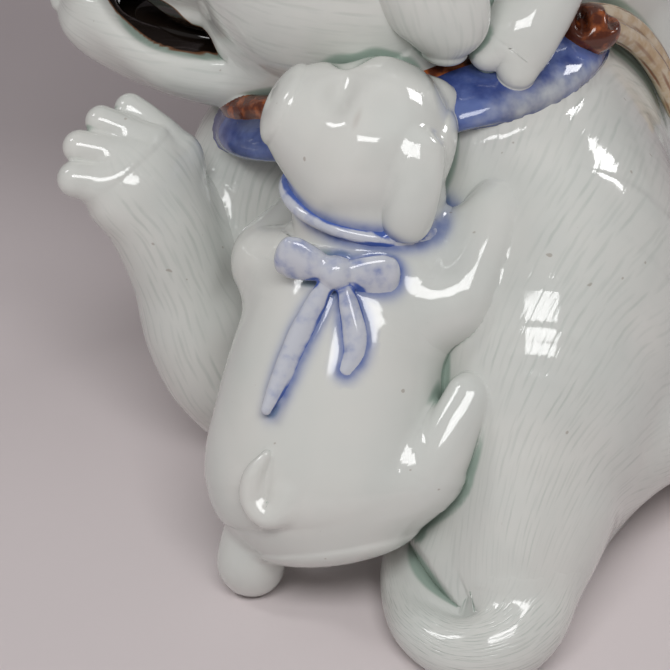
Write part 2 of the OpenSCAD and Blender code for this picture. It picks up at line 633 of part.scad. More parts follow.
module climber_left_foreleg() color(porcelain) difference() {
    pup_foreleg_form(climber_left_fore, z_axis);
    climber_body_form();
    torso_form();
    raised_arm_form();
    raised_forearm_form();
}
module climber_right_hind_leg() color(porcelain) difference() {
    pup_hind_leg_form(climber_right_hind);
    climber_body_form();
    torso_form();
}
module climber_left_hind_leg() color(porcelain) difference() {
    pup_hind_leg_form(climber_left_hind);
    climber_body_form();
}
module climber_tail() color(porcelain) difference() {
    pup_tail_form(climber_tail_path, y_axis);
    climber_body_form();
}
module climber_ribbon() color(cobalt) difference() {
    climber_ribbon_form();
    climber_body_form();
    pup_head_form(climber_head_at, climber_look);
    climber_ear_cut();
    torso_form();
    pup_foreleg_form(climber_right_fore, z_axis);
}
module climber_ear_cut() union() {
    climber_ear_form(-1, pup_short_ear_rows);
    climber_ear_form(1, pup_ear_rows);
}
module climber_bow_knot() color(cobalt) difference() {
    bow_knot_form();
    climber_body_form();
    climber_ribbon_form();
}
module bow_cut() union() {
    bow_knot_form();
    climber_body_form();
    climber_ribbon_form();
}
module climber_bow_left_loop() color(cobalt) difference() {
    bow_loop_form(-1);
    bow_cut();
}
module climber_bow_right_loop() color(cobalt) difference() {
    bow_loop_form(1);
    bow_cut();
}
module climber_bow_left_tail() color(cobalt) difference() {
    bow_tail_form(left_tail_path);
    bow_cut();
    bow_loop_form(-1);
}
module climber_bow_right_tail() color(cobalt) difference() {
    bow_tail_form(right_tail_path);
    bow_cut();
    bow_loop_form(1);
}
module rider_body() color(porcelain) difference() {
    rider_body_form();
    torso_form();
    head_form();
    bib_form();
    band_form();
}
module rider_head() color(porcelain) difference() {
    pup_head_form(rider_head_at, rider_look);
    rider_body_form();
    head_form();
    ear_form(1);
    ear_form(-1);
}
module rider_ear(s) color(porcelain) difference() {
    loft([for (q = pup_ear_rows)
        thick(on_rider_head(q[0], s * q[1], q[2]), q[3] * pup_ear_w, q[4] * pup_ear_t)], rider_look, 12, 2);
    pup_head_form(rider_head_at, rider_look);
    rider_body_form();
    head_form();
}
module rider_right_ear() rider_ear(-1);
module rider_left_ear() rider_ear(1);
module rider_right_foreleg() color(porcelain) difference() {
    pup_foreleg_form(rider_right_fore, z_axis);
    rider_body_form();
    head_form();
    ear_form(-1);
    torso_form();
}
module rider_left_foreleg() color(porcelain) difference() {
    pup_foreleg_form(rider_left_fore, x_axis);
    rider_body_form();
    head_form();
    torso_form();
    bib_form();
    band_form();
    ear_form(1);
}
module rider_left_hind_leg() color(porcelain) difference() {
    pup_hind_leg_form(rider_left_hind);
    rider_body_form();
    torso_form();
    cord_form(0);
    cord_form(outer_cord);
    bib_form();
}
module rider_right_hind_leg() color(porcelain) difference() {
    pup_hind_leg_form(rider_right_hind);
    rider_body_form();
    torso_form();
    bib_form();
}
module rider_tail() color(porcelain) difference() {
    pup_tail_form(rider_tail_path, x_axis);
    rider_body_form();
    pup_hind_leg_form(rider_right_hind);
}
module rider_ribbon() color(cobalt) difference() {
    rider_ribbon_form();
    rider_body_form();
    pup_head_form(rider_head_at, rider_look);
    head_form();
}

mother_torso();
mother_head();
mother_lower_jaw();
mother_tongue();
mother_lower_teeth();
mother_nose();
mother_eyes();
mother_left_ear();
mother_right_ear();
mother_raised_upper_arm();
mother_raised_forearm();
mother_right_foreleg();
mother_left_hind_leg();
mother_right_hind_leg();
mother_tail();
collar_bib();
collar_band();
collar_knot();
collar_inner_cord();
collar_outer_cord();
climber_body();
climber_head();
climber_right_ear();
climber_left_ear();
climber_right_foreleg();
climber_left_foreleg();
climber_right_hind_leg();
climber_left_hind_leg();
climber_tail();
climber_ribbon();
climber_bow_knot();
climber_bow_left_loop();
climber_bow_right_loop();
climber_bow_left_tail();
climber_bow_right_tail();
rider_body();
rider_head();
rider_right_ear();
rider_left_ear();
rider_right_foreleg();
rider_left_foreleg();
rider_right_hind_leg();
rider_left_hind_leg();
rider_tail();
rider_ribbon();
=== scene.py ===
# %% [markdown]
# The object is a white porcelain group: a lying mother dog who looks back over her shoulder, one puppy that
# climbs on her flank and one that rides on her nape. The solids of the group are loaded first, as a fixed
# frame in metres. Everything below is worked out in millimetres and turned into metres when a mesh is made.

# %% The frame
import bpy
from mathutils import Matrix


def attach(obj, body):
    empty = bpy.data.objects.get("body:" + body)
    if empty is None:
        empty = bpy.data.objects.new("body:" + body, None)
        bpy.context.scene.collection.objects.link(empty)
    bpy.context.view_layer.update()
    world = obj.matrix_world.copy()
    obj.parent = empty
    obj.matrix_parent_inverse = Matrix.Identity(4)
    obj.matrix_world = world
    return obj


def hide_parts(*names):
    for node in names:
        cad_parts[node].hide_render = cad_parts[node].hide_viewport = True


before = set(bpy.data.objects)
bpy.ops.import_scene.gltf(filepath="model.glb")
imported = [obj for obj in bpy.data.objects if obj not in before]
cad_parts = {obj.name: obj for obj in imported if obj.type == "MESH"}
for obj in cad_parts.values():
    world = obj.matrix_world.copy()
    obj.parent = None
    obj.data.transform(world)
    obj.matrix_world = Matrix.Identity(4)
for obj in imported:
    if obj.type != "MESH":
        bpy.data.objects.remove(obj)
print("solids loaded:", len(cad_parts))

# %% Tools and units
import bpy
import numpy as np
from mathutils import Vector

MM = 0.001
COARSE = 1.0
X, Y, Z = np.eye(3)
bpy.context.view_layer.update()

# %% [markdown]
# The camera looks down on the group from behind her tail, from far away, so that lines hardly converge. The
# aim, the tilt and the width of the view are set to match the photograph, and the lens follows from them: it
# is as many times longer than the sensor is wide as the distance is longer than the view is wide.

# %% Camera
AIM = Vector((-38, -22, 50)) * MM
TILT = np.radians(35)
AWAY = 800 * MM
VIEW_WIDTH = 134 * MM

camera_data = bpy.data.cameras.new("camera")
camera_data.sensor_width = 36
camera_data.lens = 36 * AWAY / VIEW_WIDTH
camera_data.clip_end = 20
camera = bpy.data.objects.new("camera", camera_data)
camera.location = AIM + AWAY * Vector((0, -np.cos(TILT), np.sin(TILT)))
camera.rotation_euler = (np.pi / 2 - TILT, 0, 0)
bpy.context.scene.collection.objects.link(camera)
bpy.context.scene.camera = camera
print("lens in mm:", round(camera_data.lens, 1))

# %% [markdown]
# A potter makes such a group from rolls and pressed lumps of clay, joins them with slip and wipes the joints
# round. Subdivision modelling could copy the result, but a field copies the making: each lump knows how far a
# point lies outside its skin, and two lumps run together where both distances are small. First come the
# smooth curves that the rolls follow.

# %% Curves
def unit(v):
    """Each vector divided by its own length."""
    v = np.asarray(v, float)
    return v / np.linalg.norm(v, axis=-1, keepdims=True)


def through(rows, gap):
    """A smooth curve through the rows: between two rows a cubic whose slopes are half the step from the row
    before to the row after, sampled at most gap millimetres apart."""
    p = np.asarray(rows, float)
    a, b = p[:-1], p[1:]
    before, after = np.vstack([p[:1], p[:-2]]), np.vstack([p[2:], p[-1:]])
    steps = max(2, int(np.ceil(np.linalg.norm((b - a)[:, :3], axis=1).max() / gap)))
    t = (np.arange(steps) / steps)[None, :, None]
    a, b, before, after = (q[:, None, :] for q in (a, b, before, after))
    curve = 0.5 * (2 * a + (b - before) * t + (2 * before - 5 * a + 4 * b - after) * t ** 2
                   + (3 * a - before - 3 * b + after) * t ** 3)
    return np.vstack([curve.reshape(-1, p.shape[1]), p[-1:]])


print("points on a curve of three rows:", len(through([[0, 0, 0], [10, 5, 0], [20, 0, 0]], gap=1)))

# %% [markdown]
# A form is anything that has a field. Forms are added and cut with a fillet, as clay is pressed on and carved
# away. The plainest form is a lump, an ellipsoid.

# %% Fields
def soft_min(a, b, k):
    """The smaller of two distances, with a fillet: where they differ by less than k it dips, by up to k / 4
    where they are equal."""
    h = np.maximum(k - np.abs(a - b), 0) / k
    return np.minimum(a, b) - h * h * k / 4


class Form:
    """A lump of clay known by its field, the distance outside its skin, negative within, and by its box."""

    def __init__(self, field, low, high):
        self.field, self.low, self.high = field, np.asarray(low, float), np.asarray(high, float)

    def add(self, other, k):
        """Another lump pressed on, with a fillet k."""
        return Form(lambda p: soft_min(self.field(p), other.field(p), k),
                    np.minimum(self.low, other.low), np.maximum(self.high, other.high))

    def cut(self, other, k):
        """A hollow of another lump's shape, with edges rounded by k."""
        return Form(lambda p: -soft_min(-self.field(p), other.field(p), k), self.low, self.high)


class Lump(Form):
    """An ellipsoid: radii along three axes that stand square to each other."""

    def __init__(self, centre, radii, axes=np.eye(3)):
        self.centre, self.radii = np.asarray(centre, float), np.asarray(radii, float)
        self.axes = np.asarray(axes)
        self.low, self.high = self.centre - self.radii.max(), self.centre + self.radii.max()

    def field(self, p):
        """Length of the arm from the centre, times one less the share of it that lies inside."""
        arm = p - self.centre
        share = np.maximum(np.linalg.norm(arm @ self.axes.T / self.radii, axis=1), 1e-3)
        return np.linalg.norm(arm, axis=1) * (1 - 1 / share)


print("a ball of 10 mm, 15 mm from its middle:", Lump([0, 0, 0], [10, 10, 10]).field(15 * X[None]))

# %% [markdown]
# A roll is an oval carried along a smooth curve. Its field asks for the nearest point of the curve and for
# the oval there. Bent round to its own start it is a ring, as a collar is.

# %% Rolls
class Roll(Form):
    """An oval carried along a curve: rows are [x, y, z, half width, half depth], and the width lies along
    side. An end is rounded over the length cap, or over the oval's smaller half."""

    def __init__(self, rows, side, gap=1.0, closed=False, cap=None):
        rows = np.asarray(rows, float)
        sides = np.broadcast_to(np.asarray(side, float), (len(rows), 3))
        curve = through(np.hstack([rows, sides]), gap)
        self.closed = closed
        self.centre, self.radii = curve[:, :3], np.maximum(curve[:, 3:5], 0.05)
        self.along = unit(np.gradient(self.centre, axis=0))
        if closed:
            self.along[0] = self.along[-1] = unit(self.centre[1] - self.centre[-2])
        lean = curve[:, 5:] - (curve[:, 5:] * self.along).sum(1, keepdims=True) * self.along
        self.across = unit(lean)
        self.up = np.cross(self.along, self.across)
        self.gap = np.linalg.norm(np.gradient(self.centre, axis=0), axis=1)
        self.cap = np.array(cap) if cap else self.radii[[0, -1]].min(axis=1)
        reach = self.radii.max(axis=1, keepdims=True)
        self.low, self.high = (self.centre - reach).min(axis=0), (self.centre + reach).max(axis=0)

    def field(self, p):
        """Length of the arm from the nearest point of the curve, times one less the share of it that lies
        inside the oval there. Past an end the oval is half of an ellipsoid."""
        near = ((self.centre ** 2).sum(1) - 2 * p @ self.centre.T).argmin(1)
        last = len(self.centre) - 1
        step = np.clip(((p - self.centre[near]) * self.along[near]).sum(1) / self.gap[near], -1, 1)
        other = np.clip(near + np.sign(step).astype(int), 0, last)
        share = np.abs(step)[:, None]

        def mixed(a):
            """A value between the nearest point and the next one."""
            return a[near] + (a[other] - a[near]) * share

        arm, along, radii = p - mixed(self.centre), mixed(self.along), mixed(self.radii)
        past = (arm * along).sum(1)
        ends = ((near == 0) & (past < 0)) | ((near == last) & (past > 0))
        past = np.where(ends & (not self.closed), past / np.where(near == 0, *self.cap), 0)
        q = np.sqrt(((arm * mixed(self.across)).sum(1) / radii[:, 0]) ** 2
                    + ((arm * mixed(self.up)).sum(1) / radii[:, 1]) ** 2 + past ** 2)
        return np.linalg.norm(arm, axis=1) * (1 - 1 / np.maximum(q, 1e-3))


def rounds(points, radii, side, gap=1.0, cap=None):
    """A roll of round section: one radius for each point."""
    return Roll([[*p, r, r] for p, r in zip(points, radii)], side, gap, cap=cap)


def hoop(centre, across, along, wide, deep, half, lean=0.0, count=24):
    """A roll bent round to a ring: the curve is the oval wide * cos + deep * sin, and the section's width
    leans from the outward way down along the ring's axis."""
    axis = np.cross(across, along)
    turn = np.linspace(0, 2 * np.pi, count + 1)[:, None]
    path = centre + wide * np.cos(turn) * across + deep * np.sin(turn) * along
    out = unit(path - centre)
    side = np.cos(lean) * out - np.sin(lean) * axis
    return Roll(np.hstack([path, np.broadcast_to(half, (count + 1, 2))]), side, closed=True)


print("reach of a ring of 20 mm with a roll of 2 mm:", hoop(np.zeros(3), X, Y, 20, 20, (2, 2)).high.max())

# %% [markdown]
# The mother's body is one wide roll from the tail to the chest, pressed flat on the table. Rows are written
# in millimetres, for a group that is taken to be about as long as a hand.

# %% Mother: body
BASE_DIP = 30
torso_rows = [[-58, -1, 17, 6, 0.2], [-50, -0.5, 34, 13.5, 0.3], [-38, 0.5, 51, 19.5, 0.4],
              [-22, 2.5, 71, 27.5, 0.6], [-2, 3, 87, 36.5, 0.8], [20, -5, 97, 43, 1], [38, -10, 99, 47, 1.05],
              [53, -14, 92, 44.5, 0.93], [66, -16, 79, 37, 0.67], [76, -17, 64, 26, 0.3],
              [82, -17.5, 49, 14, -0.17], [84.5, -17.5, 35, 4.5, -0.63]]
torso_roll = Roll([[x, y, (top - BASE_DIP * dip) / 2, half, (top + BASE_DIP * dip) / 2]
                   for y, x, top, half, dip in torso_rows], X, gap=2)
torso = torso_roll.add(Lump([-9.5, -46, 9], (15, 17, 16)), 9)
print("body reaches from", torso.low.round(), "to", torso.high.round())

# %% [markdown]
# Her head is a round skull with a long muzzle and a lower jaw, each a roll along the way she looks. Their
# rows are shares of a width or a length, so that each can be changed as a whole.

# %% Mother: head
HEAD_AT = np.array([-36, 31, 107.0])
MUZZLE_WAY = unit([-0.953, 0.3, 0])
CHEEK_WAY = np.cross(Z, MUZZLE_WAY)
HEAD_AXES = np.array([MUZZLE_WAY, CHEEK_WAY, Z])


def on_head(ahead, side, up):
    """A place on the mother's head: ahead to the nose, side to her left cheek, and up."""
    return HEAD_AT + ahead * MUZZLE_WAY + side * CHEEK_WAY + up * Z


NECK_W, SKULL_W, MOUTH_GAP, LIP_LINE = 56, 58, 6, -15
MUZZLE_L, MUZZLE_W, MUZZLE_H = 67, 36, 26
JAW_L, JAW_W, JAW_H = 61, 37, 22
FLOOR = LIP_LINE - 0.46 * MOUTH_GAP
neck = Roll([[-14, 24, 62, 0.52 * NECK_W, 0.48 * NECK_W], [-18, 26, 82, 0.52 * NECK_W, 0.46 * NECK_W],
             [-23, 31.5, 98, 0.48 * NECK_W, 0.45 * NECK_W],
             [*on_head(-4, 0, 0), 0.42 * NECK_W, 0.42 * NECK_W]], X)
skull = Roll([[*on_head(s * SKULL_W, 0, 0), w * SKULL_W, w * SKULL_W] for s, w in
              [(-0.54, 0.1), (-0.47, 0.31), (-0.28, 0.46), (0, 0.5), (0.21, 0.465), (0.36, 0.36),
               (0.44, 0.21), (0.47, 0.09)]], CHEEK_WAY)
muzzle = Roll([[*on_head(s * MUZZLE_L, 0, lift), w * MUZZLE_W, h * MUZZLE_H] for s, w, h, lift in
               [(0.1, 0.62, 0.74, 2), (0.33, 0.52, 0.62, 0.5), (0.5, 0.44, 0.54, -1), (0.69, 0.38, 0.5, -1.5),
                (0.85, 0.35, 0.46, -1.5), (0.95, 0.28, 0.35, -1)]], CHEEK_WAY, cap=(8, 3.5))
jaw_roll = Roll([[*on_head(s * JAW_L, 0, lift), w * JAW_W, h * JAW_H] for s, w, h, lift in
                 [(0.03, 0.52, 0.46, -20), (0.3, 0.53, 0.58, -23), (0.56, 0.46, 0.56, -24),
                  (0.79, 0.37, 0.42, -23.5), (0.93, 0.29, 0.28, -21.5), (1, 0.14, 0.14, -20)]], CHEEK_WAY)
print("head is set out, with its middle at", HEAD_AT)

# %% [markdown]
# The mouth is a slit along the muzzle. It could be one cutter, but head and jaw are two pieces, so each is
# cut by a bar that ends at its own edge of the slit. The eyes sit in hollows under soft brows.

# %% Mother: mouth and eyes
LIP_R = 3.4
left_lip = [(22, 14.5, -23.5), (27, 15, -24), (33, 15, -24), (37.5, 14.5, -22), (41.5, 13.5, -20),
            (46, 12, -18.5), (51, 9, -17.5), (55, 5, -17)]
lip_rows = left_lip + [(56.5, 0, -16.8)] + [(s, -side, up) for s, side, up in left_lip[::-1]]
lips = rounds([on_head(*row) for row in lip_rows], [LIP_R] * len(lip_rows), Z)
SLIT = [(21.5, -18.7, 1.1), (27, -19.4, 1.3), (33, -19.2, 1.5), (37.5, -17.3, 1.5), (41, -14.7, 1.6),
        (44, -12.6, 1.8), (50, -10.1, 2.1), (60, -8.6, 2.9), (80, -7, 4)]


def slit_cutter(way, wide=40, deep=14):
    """A broad bar that lies on one side of the slit's middle and reaches across it to its far edge."""
    return Roll([[*on_head(s, 0, up + way * (deep - half)), wide, deep] for s, up, half in SLIT],
                CHEEK_WAY, cap=(1.4, 6))


above_slit, below_slit = slit_cutter(1), slit_cutter(-1)
mouth_trough = Roll([[*on_head(s * JAW_L, 0, LIP_LINE - 2), w, 5] for s, w in
                     [(0.62, 7), (0.7, 8), (0.78, 8), (0.85, 6)]], CHEEK_WAY, cap=(3, 3))
eye_spots = [on_head(0.3 * SKULL_W, side * 0.37 * SKULL_W, 0.16 * SKULL_W) for side in (-1, 1)]
face = skull.add(muzzle, 9)
for spot in eye_spots:
    face = face.add(Lump(spot + 5 * Z, (5, 3, 1.6), HEAD_AXES), 4)
    face = face.cut(Lump(spot, (4.8, 4.4, 4.6), HEAD_AXES), 1.6)
for side in (-1, 1):
    face = face.cut(Lump(on_head(0.99 * MUZZLE_L, side * 3.2, 2.2), (3, 1.3, 1.2), HEAD_AXES), 0.8)
jaw = jaw_roll.add(lips, 6).cut(mouth_trough, 2.5)
print("mouth is set out, from", SLIT[0][0], "mm ahead of the head's middle")

# %% [markdown]
# Her ears hang, her left foreleg is lifted with spread toes, and the other legs lie folded beside her. The
# toes are four small rolls on the paw, with narrow fillets between them so that the creases stay deep.

# %% Mother: ears, legs and tail
EAR_W, EAR_T, LEFT_EAR_L, RIGHT_EAR_L = 22, 10, 29, 33
EAR_ROWS = [(0, 0, 0, 0.27, 0.4), (-5, 6, -0.18, 0.45, 0.5), (-9, 9, -0.48, 0.5, 0.6),
            (-11.5, 9.5, -0.79, 0.45, 0.55), (-12, 9, -1, 0.22, 0.3)]


def hanging_ear(side):
    """A flat roll that leaves the skull behind the eye and hangs down along the cheek."""
    long = RIGHT_EAR_L if side < 0 else LEFT_EAR_L
    return Roll([[*on_head(-16 + s, side * (15 + out), 25 + long * drop), w * EAR_W, t * EAR_T]
                 for s, out, drop, w, t in EAR_ROWS], MUZZLE_WAY)


FORELEG_D = 22
arm_path = np.array([[-39, 38, 61], [-49, 30, 56], [-52, 16, 36], [-57, 7.5, 19.5], [-60, 4.5, 13]])
upper_arm = rounds(arm_path, FORELEG_D * np.array([0.8, 0.9, 0.7, 0.54, 0.3]), Y)
fore_path = np.array([[-57, 5.5, 13], [-61, 4.5, 21], [-66, 4.5, 33], [-69.5, 6, 47], [-74, 7.2, 60.5],
                      [-77.8, 8, 67.8], [-80.3, 8.7, 71.8]])
fore_wide = FORELEG_D * np.array([0.32, 0.52, 0.53, 0.51, 0.55, 0.6, 0.55])
fore_deep = FORELEG_D * np.array([0.32, 0.52, 0.52, 0.46, 0.45, 0.43, 0.36])
forearm_roll = Roll(np.hstack([fore_path, fore_wide[:, None], fore_deep[:, None]]), unit([0.48, 0.745, 0.47]),
                    cap=(7, 5))


def toe(tip, heel, thick):
    """A short round roll from the heel to the tip of a toe."""
    tip, heel = np.asarray(tip, float), np.asarray(heel, float)
    end = tip - thick * unit(tip - heel)
    return rounds([heel, (heel + end) / 2, end], [0.9 * thick, thick, 0.95 * thick], Y + 0.3 * X)


raised_toes = [toe([-94.2, 1.5, 72.5], [-78, 3.5, 69], 4), toe([-93.2, 7, 77], [-77, 7, 73], 3.7),
               toe([-88.6, 12.5, 80.3], [-75, 10.5, 75], 3.5), toe([-82.5, 17.5, 81], [-73, 14, 75], 3.4)]
forearm = forearm_roll.add(Lump([-68.5, 13, 69.5], (3.4, 3.4, 5)), 4).add(Lump([-59, 1, 38], (6, 5, 6.5)), 4)

right_foreleg_roll = rounds([[-2, 40, 30], [4, 54, 16], [7, 71, 11], [8, 84, 9.5], [8, 90, 8]],
                            FORELEG_D * np.array([0.64, 0.56, 0.48, 0.44, 0.34]), X, cap=(10, 5))
right_foreleg = right_foreleg_roll
for shift in (-5.4, 0, 5.4):
    tip, heel = [8 + shift, 97 - abs(shift) * 0.25, 5], [8 + 0.8 * shift, 87, 7.5]
    right_foreleg = right_foreleg.add(toe(tip, heel, 3.2), 1.2)


def hind_leg(path, thigh):
    """A thick thigh that runs out into a low foot."""
    return rounds(path, [thigh, thigh, (thigh + 16) * 0.42, 8.5, 6.6, 2.5], X)


left_hind_roll = hind_leg([[-10, -16, 20], [-25, -11, 12], [-35, -5, 8.5], [-40, 4, 7], [-41, 12, 5.5],
                           [-41, 15, 4.5]], 12.8)
right_hind_roll = hind_leg([[20, -20, 26], [31, -8, 22], [37.4, 4, 13], [39.5, 15, 8.5], [39.5, 24, 7],
                            [39.5, 29, 5.5]], 14.6)
right_hind = right_hind_roll
for shift in (-4.8, 0, 4.8):
    tip, heel = [40 + shift, 29 - abs(shift) * 0.3, 4.5], [40 + 0.8 * shift, 19, 6.5]
    right_hind = right_hind.add(toe(tip, heel, 3), 1.2)
tail = rounds([[0, -46, 22], [-0.5, -54, 15.5], [-2, -63, 10.5], [-7, -68.8, 8], [-14.5, -67.5, 6.5],
               [-21.2, -58.6, 6], [-23.4, -44.6, 5.8], [-22, -32.1, 5.5], [-20, -25, 5]],
              [15.2, 12, 10, 8, 6.5, 6, 5.5, 5, 3], Z)
print("mother's limbs are set out")

# %% [markdown]
# Round her neck lies a padded cloth, painted blue, with a brown band, a knot and two hanging cord ends. It
# leans with the neck, so its rings are ovals in tilted planes.

# %% Collar
COLLAR_AT = np.array([-25.5, 25, 80.5])
COLLAR_ACROSS, COLLAR_ALONG = unit([31, 0, 9.5]), unit([0, 25, -8.5])
COLLAR_AXIS = np.cross(COLLAR_ACROSS, COLLAR_ALONG)
BIB_ACROSS, BIB_ALONG = unit([31, 0, 10]), unit([0, 25, -7.5])
BIB_AT = COLLAR_AT - 1.5 * BIB_ALONG + 0.8 * Z
BIB_WIDE, BIB_DEEP = 0.625 * NECK_W, 0.515 * NECK_W
bib_half = np.stack([6.8 + 2.4 * np.cos(np.linspace(0, 2 * np.pi, 25)), np.full(25, 3.3)], 1)
bib = hoop(BIB_AT, BIB_ACROSS, BIB_ALONG, BIB_WIDE, BIB_DEEP, bib_half, np.radians(36))
band = hoop(COLLAR_AT + 5 * COLLAR_AXIS, COLLAR_ACROSS, COLLAR_ALONG, 0.6 * NECK_W, 0.45 * NECK_W,
            (3, 2.5), np.radians(20))
KNOT_AT = np.array([13, 18.5, 97])
knot_lump = Lump(KNOT_AT, (6.6, 6, 5))
knot = knot_lump.cut(Lump(KNOT_AT + [-1.5, -4, 3.5], (1.3, 5, 1.6)), 1.5)
knot = knot.cut(Lump(KNOT_AT + [4.5, 1, 2.5], (1.2, 5, 1.5)), 1.5)


CORD_R, CORD_END_R, CORD_GAP = 2.25, 1.9, 6


def cord(shift):
    """A cord end that leaves the knot and hangs down over the shoulder."""
    return rounds([KNOT_AT + [1, 2 + shift, -1], [19, 26 + shift, 92], [24.5, 32 + shift, 85],
                   [29.5, 36 + shift, 76], [33.5, 37 + shift, 66]], [CORD_R] * 4 + [CORD_END_R], Y)


print("collar is set out, with its knot at", KNOT_AT)

# %% [markdown]
# Both puppies are made by the same hand: a pear-shaped body, a round head with a blunt snout, flap ears, four
# soft legs and a stub of a tail. So the forms are functions, and each puppy gives them its own paths.

# %% Puppy forms
PUP_W, PUP_T, PUP_LEG = 50, 36, 15
HEAD_ROWS = [(-9.5, 13.6), (-5, 16.8), (0, 18.3), (5, 18.2), (9, 15.9), (12.5, 13.1), (16, 10.9), (19, 8.8)]
PUP_EAR_ROWS = [(-7.5, 10, 11.5, 3.3, 2.6), (-8.8, 13, 7.5, 4.6, 3.4), (-9.8, 14.6, 2.8, 5.2, 3.9),
                (-10.8, 15, -2, 5.1, 3.9), (-11.3, 14.6, -5, 3.8, 3), (-11.5, 14.4, -6.3, 1.6, 1.4)]


class PuppyHead:
    """The frame of a puppy's head: where it is, the way it looks, its left and its crown."""

    def __init__(self, at, look):
        self.at, self.look = np.asarray(at, float), unit(look)
        self.left = unit(np.cross(Z, self.look))
        self.crown = np.cross(self.look, self.left)
        self.axes = np.array([self.look, self.left, self.crown])
        self.roll = Roll([[*(self.at + self.look * s), r, r] for s, r in HEAD_ROWS], Z, cap=(6, 4))

    def spot(self, ahead, side, up):
        """A place on the head: ahead along the look, side to its left, and up to its crown."""
        return self.at + ahead * self.look + side * self.left + up * self.crown

    def lump(self, ahead, side, up, radii):
        """An ellipsoid that lies along the head's own axes."""
        return Lump(self.spot(ahead, side, up), radii, self.axes)

    def clay(self):
        """The roll with a soft stop between brow and snout, and shallow eye hollows."""
        form = self.roll
        for side in (-1, 1):
            form = form.cut(self.lump(12.2, side * 8, 13.2, (2.6, 5.5, 3.6)), 4)
            form = form.cut(self.lump(5.4, side * 12.8, 17.8, (4.4, 4, 3.6)), 5)
        return form

    def ear(self, side, rows=PUP_EAR_ROWS):
        """A flap that is sunk in the head at its root and stands free at its end."""
        return Roll([[*self.spot(s, side * out, up), w, t] for s, out, up, w, t in rows], self.look, gap=0.6)


def pup_body(at, rows, side):
    """A pear-shaped roll: rows hold a place from the puppy's own middle and shares of its width and depth."""
    return Roll([[*(at + [x, y, z]), w * PUP_W, t * PUP_T] for x, y, z, w, t in rows], side, cap=(5, 6))


def pup_foreleg(path, side=X):
    """A round leg that is thickest at the elbow."""
    return rounds(path, PUP_LEG * np.array([0.5, 0.57, 0.53, 0.47, 0.44, 0.36]), side, cap=(6, 3))


def pup_hind_leg(path):
    """A round thigh that narrows to the foot."""
    return rounds(path, [12.2, 11.6, 8.3, 7, 5.6, 2.8], X)


def neck_ribbon(at, axis, wide, deep, half):
    """A ring round the neck, whose axis is the way of the neck."""
    axis = unit(axis)
    across = unit(np.cross(Y, axis))
    return hoop(at, across, np.cross(axis, across), wide, deep, half)


print("a puppy's head is", 2 * max(half for _, half in HEAD_ROWS), "mm wide")

# %% [markdown]
# The climber lies on her flank with its back to us. Its tail curls round a small deep hollow, its ribbon is a
# ring round the neck, and the bow is a knot with two pillows and two strips that lie on the back.

# %% Climbing puppy
CLIMBER = np.array([-40, -41, 30.0])
climber_head = PuppyHead(CLIMBER + [9.5, 29, 58], [-0.88, 0.15, 0.42])
climber = {
    "body": pup_body(CLIMBER, [(2, -6, -12, 0.34, 0.34), (1, -3.5, -7, 0.44, 0.43), (0, 0, 0, 0.5, 0.5),
                               (1.2, 7, 12, 0.46, 0.49), (4.2, 15, 24, 0.42, 0.46), (7.5, 20, 32, 0.38, 0.42),
                               (9, 24, 40, 0.33, 0.42), (8.5, 26, 46, 0.30, 0.38)], unit([0.91, -0.42, 0])),
    "right_foreleg": pup_foreleg([CLIMBER + [8, 18, 29], CLIMBER + [18, 13.5, 31], CLIMBER + [25.6, 11.2, 34],
                                  [-10.2, -24.8, 70.2], [-7.4, -19.2, 75.2], [-5.4, -14.6, 77.6]], Z),
    "left_foreleg": pup_foreleg([CLIMBER + [0, 23, 30], CLIMBER + [-8, 27, 30], [-51, -8, 59], [-47, -1, 60],
                                 [-40, 6, 63], [-33, 9, 64]], Z),
    "right_hind_leg": rounds([[-30, -45, 30], [-20.5, -49, 36], [-17.4, -49.5, 40.6], [-14.4, -46.5, 45.8],
                              [-11.6, -43, 50]], [12, 8.5, 6.2, 5.3, 4.9], X),
    "left_hind_leg": rounds([[-50, -40, 24], [-53, -40.5, 16], [-54.8, -41, 8.5], [-54.8, -39, 5.5],
                             [-54.8, -35, 5]], [9, 7.2, 7, 6.6, 4.5], X),
    "tail": rounds(CLIMBER + [[-7, -13, 5], [-8.6, -14.6, 1.6], [-11.6, -14.3, 0.4], [-14.2, -12.3, 3],
                              [-13.8, -11.4, 8], [-11.4, -10.4, 12]],
                   [2.4, 2.7, 2.8, 2.6, 2.1, 0.9], Y, gap=0.5),
    "ribbon": neck_ribbon(CLIMBER + [8.5, 27, 47.2], [0.17, 0.08, 0.98], 16.3, 15.4, (1.6, 1.5))}
BOW_AT, BOW_L = CLIMBER + [2.2, 7.6, 42.8], 12


def bow_loop(side):
    """A pillow that leaves the knot of the bow and fills out towards its rounded end."""
    out = unit(side * np.array([0.93, -0.1, -0.1]) + 0.12 * Y + 0.14 * (side < 0) * Z)
    rows = [(0.1, 2.2, 1.8), (0.4, 3.8, 2.2), (0.7, 4.7, 2.2), (0.86, 4.4, 2)]
    return Roll([[*(BOW_AT + out * BOW_L * s), w, t] for s, w, t in rows], Z, gap=0.5, cap=(1, 2.2))


def bow_tail(path):
    """A strip that hangs from the knot of the bow down the back."""
    return Roll([[*(CLIMBER + p), w, t] for p, w, t in
                 zip(path, (1.7, 2.2, 1.9, 1.1), (1.4, 1.4, 1.3, 1))], X, gap=0.5)


print("climbing puppy is set out")

# %% [markdown]
# The rider sits on her back with its chin over her nape. One foreleg hangs down beside her ear, and its two
# toes are small rolls like hers.

